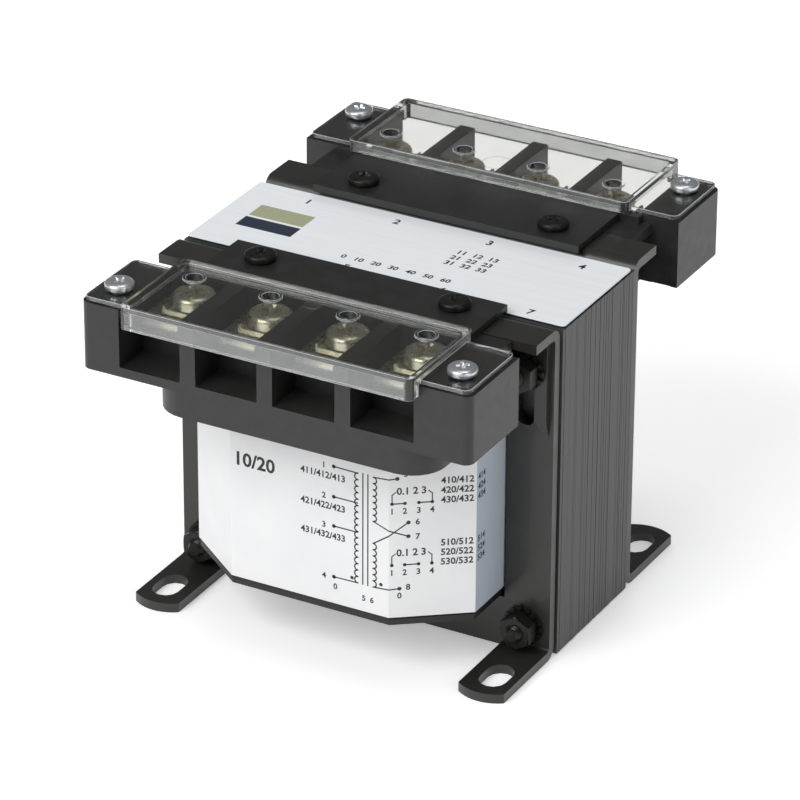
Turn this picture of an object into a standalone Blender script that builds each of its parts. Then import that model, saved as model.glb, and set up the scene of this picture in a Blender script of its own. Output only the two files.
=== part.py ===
"""Control transformer: laminated core, wrapped coil, two end frames with feet,
and two moulded terminal blocks with screw terminals under clear covers.

Frame: metres, +X along the width of the core, +Y through its depth, +Z up.
The origin is under the middle of the core, level with the undersides of the feet.
The front end faces -Y. The rear end is the same set of pieces turned half a turn.
Lengths called "out" are measured from the core's middle plane towards an end.
"""
import math

import bmesh
import bpy
from mathutils import Matrix, Vector

# Clearances
SEAT_GAP = 0.0003          # between two pieces that rest on or against each other
RUN_GAP = 0.0003           # round a screw or bolt in its hole
WINDING_GAP = 0.0003       # between the layers of the coil

# Laminated core
CORE_WIDTH = 0.0840
CORE_DEPTH = 0.0308
CORE_TOP = 0.0711
CENTRE_LEG = 0.0280
OUTER_LEG = 0.0140
YOKE = 0.0112
GROOVE_PITCH = 0.0022      # packs of sheets that stand a little in and out
GROOVE_WIDTH = 0.0004
GROOVE_DEPTH = 0.0002

# Top plate, glued to the core between the two frames
TOP_PLATE_WIDTH = 0.0836
TOP_PLATE_DEPTH = 0.0290
TOP_PLATE_THICK = 0.0003

# End frames, pressed from sheet
SHEET = 0.0020
BEND = 0.0008              # inner radius of the bends
FRAME_WIDTH = 0.0832
LEG_WIDTH = 0.0100
FLANGE_TOP = 0.0722
FLANGE_REACH = 0.0255      # out
BAR_BOTTOM = 0.0007        # lower edge of the bar between the feet
FOOT_REACH = 0.0384        # out, at the middle of the rounded tip
FOOT_TIP_SAG = 0.0017      # how much the tip's arc stands proud of its corners
FOOT_SLOT_WIDTH = 0.0056
FOOT_SLOT_LENGTH = 0.0090
FOOT_SLOT_X = 0.0370
FOOT_SLOT_OUT = 0.0309
PAD_RISE = 0.0014          # raised pads under the upper nuts
PAD_BOTTOM = 0.0488
PAD_RAMP = 0.0040
PAD_MARGIN = 0.0010        # flat strip left at the frame's outer edge

# Core bolts, with a hexagon head at the rear and a nut on a toothed washer at the front
BOLT_RADIUS = 0.00175
BOLT_X = 0.0360
BOLT_LOW_Z = 0.0066
BOLT_HIGH_Z = 0.0632
BOLT_SLOT_BOTTOM = 0.0509
HEX_ACROSS = 0.0064
BOLT_HEAD = 0.0024
NUT_THICK = 0.0030
BOLT_STUB = 0.0012
WASHER_RADIUS = 0.0043
WASHER_THICK = 0.0008
WASHER_TEETH = 14
WASHER_TOOTH = 0.0006

# Coil
BOBBIN_WALL = 0.0012
BOBBIN_FLANGE = 0.0015
PRIMARY_BUILD = 0.0055     # thickness of winding beside the centre leg
PRIMARY_END_BUILD = 0.0110 # thickness of winding where it overhangs the core
WRAP_THICK = 0.0005
COIL_HALF_WIDTH = 0.0312   # outside the core
COIL_REACH = 0.0394        # out
COIL_CORNER_X = 0.0136
COIL_CORNER_Y = 0.0103
COIL_SHOULDER = 0.0013     # length of the step from the window to the full width
LEAD_RADIUS = 0.0006
LEAD_BEND = 0.0012
PRIMARY_LEAD_X = 0.0180    # leads leave the coil no further from the middle than this
PRIMARY_LEAD_OUT = 0.0240
SECONDARY_LEAD_X = 0.0235
SECONDARY_LEAD_OUT = 0.0335

# Terminals
TERMINAL_PITCH = 0.01687
TERMINAL_OUT = 0.0390
TERMINALS = 4
PITCH_OF_THREAD = 0.000794
SCREW_RADIUS = 0.0020
SCREW_HEAD_RADIUS = 0.0044
SCREW_HEAD = 0.0028
SCREW_LENGTH = 0.0078
RECESS_WIDTH = 0.0011
RECESS_LENGTH = 0.0052
RECESS_DEPTH = 0.0013
CLAMP_SIZE = 0.0092
CLAMP_THICK = 0.0010
CLAMP_LIP = 0.0006         # turned-up edges of the clamp plate
PLATE_WIDTH = 0.0112
PLATE_REACH = 0.0448       # out
PLATE_THICK = 0.0010
TAIL_WIDTH = 0.0032
TAIL_THICK = 0.0008
TAIL_SIDE = 0.0056         # tail's distance to the left of the screw
TAIL_OUT = 0.0370
TAIL_BOTTOM = 0.0616

# Terminal blocks
BLOCK_HALF = 0.0423
BLOCK_INNER = 0.0340       # out
BLOCK_OUTER = 0.0533       # out
BLOCK_BOTTOM = 0.0594
BLOCK_TOP = 0.0736
BLOCK_CORNER = 0.0018
BLOCK_WALL = 0.0015
CELL_WIDTH = 0.0135
CELL_OFFSET = 0.00165      # cells lie this far to the left of their screws
CELL_FLOOR = 0.0614
SEAT_TOP = 0.0672
SEAT_REACH = 0.0445        # out
SKIRT_LEFT = 0.0273
SKIRT_RIGHT = 0.0335
SKIRT_BOTTOM = 0.0540
SKIRT_CORNER = 0.0070
SKIRT_WALL = 0.0018
SKIRT_INNER = 0.0404       # out
POCKET_LOW_X = 0.0367      # hollow in the inner side of each end
POCKET_HIGH_X = 0.0408
POCKET_DEPTH = 0.0090
STRIP_INNER = 0.0149       # out, over the edge of the top plate
STRIP_HALF = 0.0298
STRIP_LIP = 0.0007
WEB_HALF = 0.0364          # the web between the flange's edge and the block is wider than the strip
WEB_BOTTOM = 0.0700
WEB_TOP = 0.0721
GUTTER_TOP = 0.0611        # roof of the channel for the leads under the block

# Block screws, through the strip into the frame's flange
BLOCK_SCREW_X = 0.0214
BLOCK_SCREW_OUT = 0.0206
BLOCK_SCREW_RADIUS = 0.0015
BLOCK_SCREW_HEAD_RADIUS = 0.0032
BLOCK_SCREW_HEAD = 0.0015
BLOCK_SCREW_LENGTH = 0.0060

# Clear covers
COVER_HALF = 0.0316
COVER_INNER = 0.0321       # out
COVER_OUTER = 0.0566       # out
COVER_TOP = 0.0763
COVER_WALL = 0.0014
COVER_CORNER = 0.0012
COVER_LIP_BOTTOM = 0.0716  # lower edge of the outer wall
TAB_HALF = 0.0416
TAB_INNER = 0.0344         # out
TAB_OUTER = 0.0529         # out
TAB_THICK = 0.0008
ACCESS_RADIUS = 0.0017
COLLAR_RADIUS = 0.0023
COLLAR_RISE = 0.0003

# Cover screws
COVER_SCREW_X = 0.03724
COVER_SCREW_OUT = 0.0470
COVER_SCREW_RADIUS = 0.0014
COVER_SCREW_HEAD_RADIUS = 0.0029
COVER_SCREW_HEAD = 0.0016
COVER_SCREW_LENGTH = 0.0078

# Places that follow from the sizes above
CORE_BOTTOM = SEAT_GAP
CORE_FACE = CORE_DEPTH / 2
WINDOW_BOTTOM = CORE_BOTTOM + YOKE
WINDOW_TOP = BLOCK_BOTTOM
WINDOW_IN = CENTRE_LEG / 2
WINDOW_OUT = CORE_WIDTH / 2 - OUTER_LEG
FRAME_INNER = CORE_FACE + SEAT_GAP
FRAME_OUTER = FRAME_INNER + SHEET
FRAME_EDGE = FRAME_WIDTH / 2
LEG_EDGE = FRAME_EDGE - LEG_WIDTH
PAD_FACE = FRAME_OUTER + PAD_RISE
BOBBIN_BOTTOM = WINDOW_BOTTOM + SEAT_GAP
BOBBIN_TOP = WINDOW_TOP - SEAT_GAP
WINDING_BOTTOM = BOBBIN_BOTTOM + BOBBIN_FLANGE + WINDING_GAP
WINDING_TOP = BOBBIN_TOP - BOBBIN_FLANGE - WINDING_GAP
TERMINAL_XS = [(i - (TERMINALS - 1) / 2) * TERMINAL_PITCH for i in range(TERMINALS)]
PLATE_BOTTOM = SEAT_TOP + SEAT_GAP
CLAMP_BOTTOM = PLATE_BOTTOM + PLATE_THICK + SEAT_GAP
HEAD_BOTTOM = CLAMP_BOTTOM + CLAMP_THICK + SEAT_GAP
STRIP_BOTTOM = FLANGE_TOP + SEAT_GAP
TAB_BOTTOM = BLOCK_TOP + SEAT_GAP
ROUND = 14                 # sides of a round hole or rod
SCREW_SIDES = 12           # sides of a screw

ASSEMBLY = bpy.data.collections.new("control_transformer")
CUTTERS = bpy.data.collections.new("cutters")


def clear_scene():
    """Removes what the scene holds and links the two collections."""
    for item in list(bpy.data.objects):
        bpy.data.objects.remove(item, do_unlink=True)
    bpy.context.scene.collection.children.link(ASSEMBLY)
    bpy.context.scene.collection.children.link(CUTTERS)


def finish_material(name, colour, roughness, metallic, alpha=1.0):
    """One Principled material; colour is linear."""
    material = bpy.data.materials.new(name)
    material.use_nodes = True
    shader = material.node_tree.nodes["Principled BSDF"]
    shader.inputs["Base Color"].default_value = (*colour, 1.0)
    shader.inputs["Roughness"].default_value = roughness
    shader.inputs["Metallic"].default_value = metallic
    shader.inputs["Alpha"].default_value = alpha
    material.diffuse_color = (*colour, alpha)
    return material


def new_object(name, mesh):
    """A working object among the cutters, drawn as wire until it is a part."""
    item = bpy.data.objects.new(name, mesh)
    item.display_type = "WIRE"
    item.hide_render = True
    CUTTERS.objects.link(item)
    return item


def evaluated_mesh(item):
    """The item's mesh as its modifiers leave it, with doubled points merged."""
    graph = bpy.context.evaluated_depsgraph_get()
    mesh = bpy.data.meshes.new_from_object(item.evaluated_get(graph))
    work = bmesh.new()
    work.from_mesh(mesh)
    bmesh.ops.remove_doubles(work, verts=work.verts, dist=1e-6)
    work.to_mesh(mesh)
    work.free()
    return mesh


def box(name, low, high):
    """A block between two corners."""
    low, high = Vector(low), Vector(high)
    work = bmesh.new()
    bmesh.ops.create_cube(work, size=1.0)
    bmesh.ops.scale(work, vec=high - low, verts=work.verts)
    bmesh.ops.translate(work, vec=(low + high) / 2, verts=work.verts)
    mesh = bpy.data.meshes.new(name)
    work.to_mesh(mesh)
    work.free()
    return new_object(name, mesh)


def rod(name, radius, low, high, at, axis="Z", sides=ROUND):
    """A cylinder from low to high along an axis. at gives the other two places, in X, Y, Z order."""
    work = bmesh.new()
    bmesh.ops.create_cone(work, cap_ends=True, segments=sides, radius1=radius, radius2=radius,
                          depth=high - low)
    if axis == "Y":
        bmesh.ops.rotate(work, verts=work.verts, matrix=Matrix.Rotation(math.pi / 2, 3, "X"))
        centre = (at[0], (low + high) / 2, at[1])
    elif axis == "X":
        bmesh.ops.rotate(work, verts=work.verts, matrix=Matrix.Rotation(math.pi / 2, 3, "Y"))
        centre = ((low + high) / 2, at[0], at[1])
    else:
        centre = (at[0], at[1], (low + high) / 2)
    bmesh.ops.translate(work, vec=centre, verts=work.verts)
    mesh = bpy.data.meshes.new(name)
    work.to_mesh(mesh)
    work.free()
    return new_object(name, mesh)


def prism(name, outline, low, high, axis="Z"):
    """A flat outline drawn as a curve and extruded along an axis.

    The outline's two coordinates are (x, y) for axis Z, (y, z) for axis X and (x, z) for axis Y.
    """
    curve = bpy.data.curves.new(name, "CURVE")
    curve.dimensions = "2D"
    curve.fill_mode = "BOTH"
    curve.extrude = (high - low) / 2
    spline = curve.splines.new("POLY")
    spline.points.add(len(outline) - 1)
    for point, (u, v) in zip(spline.points, outline):
        point.co = (u, v, 0.0, 1.0)
    spline.use_cyclic_u = True
    item = bpy.data.objects.new(name, curve)
    CUTTERS.objects.link(item)
    bpy.context.view_layer.update()
    mesh = evaluated_mesh(item)
    bpy.data.objects.remove(item, do_unlink=True)
    mesh.transform(Matrix.Translation((0, 0, (low + high) / 2)))
    turn = {
        "Z": Matrix.Identity(4),
        "X": Matrix(((0, 0, 1, 0), (1, 0, 0, 0), (0, 1, 0, 0), (0, 0, 0, 1))),
        "Y": Matrix(((1, 0, 0, 0), (0, 0, 1, 0), (0, 1, 0, 0), (0, 0, 0, 1))),
    }[axis]
    mesh.transform(turn)
    if axis == "Y":
        mesh.flip_normals()
    return new_object(name, mesh)


def turned(name, profile, at=(0.0, 0.0), sides=SCREW_SIDES):
    """A profile of (radius, z) points, listed from top to bottom, turned about the Z axis."""
    mesh = bpy.data.meshes.new(name)
    points = [(radius, 0.0, z) for radius, z in profile]
    mesh.from_pydata(points, [(i, i + 1) for i in range(len(points) - 1)], [])
    item = new_object(name, mesh)
    screw = item.modifiers.new("turn", "SCREW")
    screw.axis = "Z"
    screw.steps = sides
    screw.render_steps = sides
    screw.use_merge_vertices = True
    screw.merge_threshold = 1e-6
    screw.use_normal_calculate = False
    bpy.context.view_layer.update()
    solid = evaluated_mesh(item)
    item.modifiers.clear()
    item.data = solid
    solid.transform(Matrix.Translation((at[0], at[1], 0.0)))
    return item


def combine(target, others, operation):
    """Cuts from, or joins to, the target each of the others, which are then removed."""
    for other in others:
        step = target.modifiers.new(other.name, "BOOLEAN")
        step.operation = operation
        step.solver = "EXACT"
        step.object = other
    bpy.context.view_layer.update()
    mesh = evaluated_mesh(target)
    target.modifiers.clear()
    target.data = mesh
    for other in others:
        bpy.data.objects.remove(other, do_unlink=True)
    return target


def cut(target, cutters):
    """Takes the cutters out of the target."""
    return combine(target, cutters, "DIFFERENCE")


def join(target, pieces):
    """Makes the target and the pieces one body."""
    return combine(target, pieces, "UNION")


def arc(cx, cy, rx, ry, start, end, steps):
    """Points along an arc, in degrees, both ends included."""
    points = []
    for i in range(steps + 1):
        angle = math.radians(start + (end - start) * i / steps)
        points.append((cx + rx * math.cos(angle), cy + ry * math.sin(angle)))
    return points


def rounded_rectangle(x0, x1, y0, y1, radius, steps=3):
    """A rectangle with four round corners."""
    points = []
    points += arc(x1 - radius, y1 - radius, radius, radius, 0, 90, steps)
    points += arc(x0 + radius, y1 - radius, radius, radius, 90, 180, steps)
    points += arc(x0 + radius, y0 + radius, radius, radius, 180, 270, steps)
    points += arc(x1 - radius, y0 + radius, radius, radius, 270, 360, steps)
    return points


def slot_outline(cx, low, high, width, steps=6):
    """An obround that stands along the second coordinate, from low to high."""
    radius = width / 2
    points = arc(cx, high - radius, radius, radius, 0, 180, steps)
    points += arc(cx, low + radius, radius, radius, 180, 360, steps)
    return points


def place(name, item, material, where=(0.0, 0.0, 0.0), turn=0.0):
    """Puts a mesh into the assembly as a finished part."""
    mesh = item.data
    part = bpy.data.objects.new(name, mesh)
    if not mesh.materials:
        mesh.materials.append(material)
        mesh.shade_smooth()
        mesh.set_sharp_from_angle(angle=math.radians(35))
    part.location = where
    part.rotation_euler = (0.0, 0.0, turn)
    ASSEMBLY.objects.link(part)
    return part


def both_ends(stem, item, material):
    """Places one mesh at the front, and again at the rear turned half a turn."""
    place(f"front_{stem}", item, material)
    place(f"rear_{stem}", item, material, turn=math.pi)


def core():
    """Stack of E and I sheets, with a window each side of the centre leg."""
    half = CORE_WIDTH / 2
    body = box("core", (-half, -CORE_FACE, CORE_BOTTOM), (half, CORE_FACE, CORE_TOP))
    past = CORE_FACE + 0.001
    cutters = []
    for side in (-1, 1):
        edges = sorted((side * WINDOW_IN, side * WINDOW_OUT))
        cutters.append(box("window", (edges[0], -past, WINDOW_BOTTOM), (edges[1], past, WINDOW_TOP)))
        for z in (BOLT_LOW_Z, BOLT_HIGH_Z):
            cutters.append(rod("bolt_hole", BOLT_RADIUS + RUN_GAP, -past, past, (side * BOLT_X, z), "Y"))
    cut(body, cutters)
    grooves = int((CORE_DEPTH - GROOVE_PITCH / 2) / GROOVE_PITCH)
    first = -(grooves - 1) / 2 * GROOVE_PITCH
    rings = []
    for i in range(grooves):
        y = first + i * GROOVE_PITCH
        ring = box("groove", (-half - 0.001, y - GROOVE_WIDTH / 2, CORE_BOTTOM - 0.001),
                   (half + 0.001, y + GROOVE_WIDTH / 2, CORE_TOP + 0.001))
        keep = box("keep", (-half + GROOVE_DEPTH, y - GROOVE_WIDTH, CORE_BOTTOM + GROOVE_DEPTH),
                   (half - GROOVE_DEPTH, y + GROOVE_WIDTH, CORE_TOP - GROOVE_DEPTH))
        rings.append(cut(ring, [keep]))
    return cut(body, rings)


def frame_section():
    """Side view of the pressed sheet as (out, z): flange, plate and foot in one bend line."""
    outer = BEND + SHEET
    centre = FRAME_INNER + outer
    flange_low = FLANGE_TOP - SHEET
    points = [(FLANGE_REACH, FLANGE_TOP)]
    points += arc(centre, FLANGE_TOP - outer, outer, outer, 90, 180, 5)
    points += arc(centre, outer, outer, outer, 180, 270, 5)
    points += [(FOOT_REACH, 0.0), (FOOT_REACH, SHEET)]
    points += arc(centre, outer, BEND, BEND, 270, 180, 4)
    points += arc(centre, flange_low - BEND, BEND, BEND, 180, 90, 4)
    points += [(FLANGE_REACH, flange_low)]
    return points


def front_y(points):
    """Turns (out, z) points into (y, z) points of the front end."""
    return [(-out, z) for out, z in points]


def foot_tip(side):
    """Cutter that leaves a foot with an arc for its tip."""
    low, high = LEG_EDGE, FRAME_EDGE
    middle, half = (low + high) / 2, (high - low) / 2
    radius = (half ** 2 + FOOT_TIP_SAG ** 2) / (2 * FOOT_TIP_SAG)
    centre = FOOT_REACH - radius
    spread = math.degrees(math.asin(half / radius)) * 1.15
    points = arc(side * middle, -centre, radius, radius, 270 - spread, 270 + spread, 12)
    beyond = -FOOT_REACH - 0.004
    points += [(points[-1][0], beyond), (points[0][0], beyond)]
    return prism("foot_tip", points, -0.001, SHEET + 0.001)


def frame():
    """Front end frame: C-shaped sheet with window, feet, raised pads and bolt slots."""
    body = prism("frame", front_y(frame_section()), -FRAME_EDGE, FRAME_EDGE, "X")
    bend_top = BEND + SHEET
    between = box("between_feet", (-LEG_EDGE, -FOOT_REACH - 0.001, -0.001), (LEG_EDGE, 0.0, bend_top))
    cut(body, [between])
    bar = box("bar", (-LEG_EDGE - 0.001, -FRAME_OUTER, BAR_BOTTOM), (LEG_EDGE + 0.001, -FRAME_INNER, bend_top + 0.001))
    pads, hollows = [], []
    for side in (-1, 1):
        edges = sorted((side * LEG_EDGE, side * (FRAME_EDGE - PAD_MARGIN)))
        under_flange = FLANGE_TOP - SHEET / 2
        pad = [(FRAME_OUTER - SHEET / 2, PAD_BOTTOM), (FRAME_OUTER, PAD_BOTTOM),
               (PAD_FACE, PAD_BOTTOM + PAD_RAMP), (PAD_FACE, under_flange), (FRAME_OUTER - SHEET / 2, under_flange)]
        pads.append(prism("pad", front_y(pad), edges[0], edges[1], "X"))
        hollow = [(FRAME_INNER - 0.001, PAD_BOTTOM + SHEET), (FRAME_INNER, PAD_BOTTOM + SHEET),
                  (FRAME_INNER + PAD_RISE, PAD_BOTTOM + SHEET + PAD_RAMP),
                  (FRAME_INNER + PAD_RISE, BOLT_HIGH_Z + WASHER_RADIUS), (FRAME_INNER - 0.001, BOLT_HIGH_Z + WASHER_RADIUS)]
        hollows.append(prism("hollow", front_y(hollow), edges[0] + SHEET, edges[1] - SHEET, "X"))
    join(body, [bar] + pads)
    cutters = [box("window", (-LEG_EDGE, -PAD_FACE - 0.001, WINDOW_BOTTOM),
                   (LEG_EDGE, -FRAME_INNER + 0.001, WINDOW_TOP))]
    hole = BOLT_RADIUS + RUN_GAP
    for side in (-1, 1):
        cutters.append(rod("low_hole", hole, -FRAME_OUTER - 0.001, 0.0, (side * BOLT_X, BOLT_LOW_Z), "Y"))
        slot = slot_outline(side * BOLT_X, BOLT_SLOT_BOTTOM, BOLT_HIGH_Z + hole, 2 * hole)
        cutters.append(prism("bolt_slot", slot, -PAD_FACE - 0.001, 0.0, "Y"))
        foot = slot_outline(side * FOOT_SLOT_X, -FOOT_SLOT_OUT - FOOT_SLOT_LENGTH / 2,
                            -FOOT_SLOT_OUT + FOOT_SLOT_LENGTH / 2, FOOT_SLOT_WIDTH)
        cutters.append(prism("foot_slot", foot, -0.001, SHEET + 0.001))
        cutters.append(foot_tip(side))
        cutters.append(rod("flange_hole", BLOCK_SCREW_RADIUS + RUN_GAP, FLANGE_TOP - SHEET - 0.001,
                           FLANGE_TOP + 0.001, (side * BLOCK_SCREW_X, -BLOCK_SCREW_OUT)))
    return cut(body, cutters + hollows)


def hexagon(name, low, high, hole=0.0):
    """A hexagon across flats HEX_ACROSS along Y, with a hole where asked."""
    radius = HEX_ACROSS / math.sqrt(3)
    outline = arc(0.0, 0.0, radius, radius, 0, 300, 5)
    body = prism(name, outline, low, high, "Y")
    if hole:
        cut(body, [rod("hole", hole, low - 0.001, high + 0.001, (0.0, 0.0), "Y")])
    return body


def washer():
    """Toothed lock washer, about its bolt's axis, with its back at y = 0."""
    outline = []
    count = 2 * WASHER_TEETH
    for i in range(count):
        radius = WASHER_RADIUS if i % 2 else WASHER_RADIUS - WASHER_TOOTH
        angle = 2 * math.pi * i / count
        outline.append((radius * math.cos(angle), radius * math.sin(angle)))
    body = prism("washer", outline, -WASHER_THICK, 0.0, "Y")
    return cut(body, [rod("hole", BOLT_RADIUS + RUN_GAP, -WASHER_THICK - 0.001, 0.001, (0.0, 0.0), "Y")])


def core_bolts(steel):
    """Four bolts through frames and core, each with its washer and nut at the front."""
    nut = hexagon("nut", -NUT_THICK, 0.0, BOLT_RADIUS + RUN_GAP)
    ring = washer()
    number = 0
    for z, seat in ((BOLT_LOW_Z, FRAME_OUTER), (BOLT_HIGH_Z, PAD_FACE)):
        washer_back = seat + SEAT_GAP
        nut_back = washer_back + WASHER_THICK + SEAT_GAP
        tip = nut_back + NUT_THICK + BOLT_STUB
        head = hexagon("bolt", seat + SEAT_GAP, seat + SEAT_GAP + BOLT_HEAD)
        bolt = join(head, [rod("shank", BOLT_RADIUS, -tip, seat + SEAT_GAP + BOLT_HEAD / 2, (0.0, 0.0), "Y")])
        for side in (-1, 1):
            number += 1
            place(f"core_bolt_{number}", bolt, steel, (side * BOLT_X, 0.0, z))
            place(f"core_washer_{number}", ring, steel, (side * BOLT_X, -washer_back, z))
            place(f"core_nut_{number}", nut, steel, (side * BOLT_X, -nut_back, z))
        bpy.data.objects.remove(bolt, do_unlink=True)


def coil_outline(inset):
    """Plan of the coil: narrow in the core's windows, full outside, with elliptical corners."""
    waist = WINDOW_OUT - WINDING_GAP - inset
    wide = COIL_HALF_WIDTH - inset
    step = FRAME_INNER + inset
    corner_x, corner_y = COIL_HALF_WIDTH - COIL_CORNER_X, COIL_REACH - COIL_CORNER_Y
    quarter = [(waist, step), (wide, step + COIL_SHOULDER)]
    quarter += arc(corner_x, corner_y, COIL_CORNER_X - inset, COIL_CORNER_Y - inset, 0, 90, 8)
    outline = list(quarter)
    outline += [(-x, y) for x, y in reversed(quarter)]
    outline += [(-x, -y) for x, y in quarter]
    outline += [(x, -y) for x, y in reversed(quarter)]
    return outline


def ring_of(name, outer, inner, low, high):
    """A wall between two plan outlines."""
    return cut(prism(name, outer, low, high), [prism("inside", inner, low - 0.001, high + 0.001)])


def lead_ends(primary):
    """Where each lead leaves the coil and where it meets its tail, at the front."""
    leave_out = PRIMARY_LEAD_OUT if primary else SECONDARY_LEAD_OUT
    furthest = PRIMARY_LEAD_X if primary else SECONDARY_LEAD_X
    ends = []
    for x in TERMINAL_XS:
        tail_x = x - TAIL_SIDE
        leave_x = max(-furthest, min(furthest, tail_x))
        ends.append((leave_x, leave_out, tail_x))
    return ends


def bent_route(corners, radius):
    """The path through the corners with each bend rounded."""
    corners = [Vector(corner) for corner in corners]
    route = [corners[0]]
    for before, here, after in zip(corners, corners[1:], corners[2:]):
        back, ahead = before - here, after - here
        reach = min(radius, 0.45 * back.length, 0.45 * ahead.length)
        start, end = here + back.normalized() * reach, here + ahead.normalized() * reach
        for i in range(4):
            share = i / 3
            route.append((1 - share) ** 2 * start + 2 * share * (1 - share) * here + share ** 2 * end)
    route.append(corners[-1])
    return route


def lead(ends, turn):
    """A lead of enamelled wire, from the winding to its terminal's tail."""
    leave_x, leave_out, tail_x = ends
    beside_tail = TAIL_OUT - TAIL_THICK / 2 - SEAT_GAP - LEAD_RADIUS
    level = (BLOCK_BOTTOM + GUTTER_TOP) / 2
    corners = [(leave_x, -leave_out, WINDING_TOP - 0.001), (leave_x, -leave_out, level),
               (leave_x, -beside_tail, level)]
    if abs(tail_x - leave_x) > LEAD_RADIUS:
        corners.append((tail_x, -beside_tail, level))
    corners.append((tail_x, -beside_tail, SEAT_TOP - 0.001))
    route = bent_route(corners, LEAD_BEND)
    curve = bpy.data.curves.new("lead", "CURVE")
    curve.dimensions = "3D"
    curve.bevel_depth = LEAD_RADIUS
    curve.bevel_resolution = 2
    curve.use_fill_caps = True
    spline = curve.splines.new("POLY")
    spline.points.add(len(route) - 1)
    for target, point in zip(spline.points, route):
        target.co = (*point, 1.0)
    item = bpy.data.objects.new("lead", curve)
    CUTTERS.objects.link(item)
    bpy.context.view_layer.update()
    mesh = evaluated_mesh(item)
    bpy.data.objects.remove(item, do_unlink=True)
    mesh.transform(Matrix.Rotation(turn, 4, "Z"))
    return new_object("lead", mesh)


def coil(plastic, copper, film):
    """Bobbin, two windings with their leads, and the outer wrap."""
    tube = WINDOW_IN + WINDING_GAP
    tube_face = CORE_FACE + WINDING_GAP
    flange_plan = coil_outline(WINDING_GAP)
    low = prism("bobbin", flange_plan, BOBBIN_BOTTOM, BOBBIN_BOTTOM + BOBBIN_FLANGE)
    high = prism("top_flange", flange_plan, BOBBIN_TOP - BOBBIN_FLANGE, BOBBIN_TOP)
    wall_x, wall_y = tube + BOBBIN_WALL, tube_face + BOBBIN_WALL
    wall = box("wall", (-wall_x, -wall_y, BOBBIN_BOTTOM + BOBBIN_FLANGE / 2), (wall_x, wall_y, BOBBIN_TOP - BOBBIN_FLANGE / 2))
    bobbin = join(low, [high, wall])
    cutters = [box("bore", (-tube, -tube_face, BOBBIN_BOTTOM - 0.001), (tube, tube_face, BOBBIN_TOP + 0.001))]
    for primary, side in ((True, 1), (False, -1)):
        for leave_x, leave_out, _ in lead_ends(primary):
            cutters.append(rod("lead_hole", LEAD_RADIUS + RUN_GAP, BOBBIN_TOP - BOBBIN_FLANGE - 0.0005,
                               BOBBIN_TOP + 0.001, (-side * leave_x, side * leave_out), sides=8))
    place("coil_bobbin", cut(bobbin, cutters), plastic)

    first_x, first_y = wall_x + WINDING_GAP, wall_y + WINDING_GAP
    last_x, last_y = first_x + PRIMARY_BUILD, first_y + PRIMARY_END_BUILD
    primary = ring_of("primary", rounded_rectangle(-last_x, last_x, -last_y, last_y, 0.0045),
                      rounded_rectangle(-first_x, first_x, -first_y, first_y, 0.0008, 2), WINDING_BOTTOM, WINDING_TOP)
    join(primary, [lead(ends, math.pi) for ends in lead_ends(True)])
    place("primary_winding", primary, copper)

    next_x, next_y = last_x + WINDING_GAP, last_y + WINDING_GAP
    secondary = ring_of("secondary", coil_outline(WRAP_THICK + WINDING_GAP),
                        rounded_rectangle(-next_x, next_x, -next_y, next_y, 0.0048), WINDING_BOTTOM, WINDING_TOP)
    join(secondary, [lead(ends, 0.0) for ends in lead_ends(False)])
    place("secondary_winding", secondary, copper)
    place("coil_wrap", ring_of("wrap", coil_outline(0.0), coil_outline(WRAP_THICK), WINDING_BOTTOM, WINDING_TOP), film)


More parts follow.
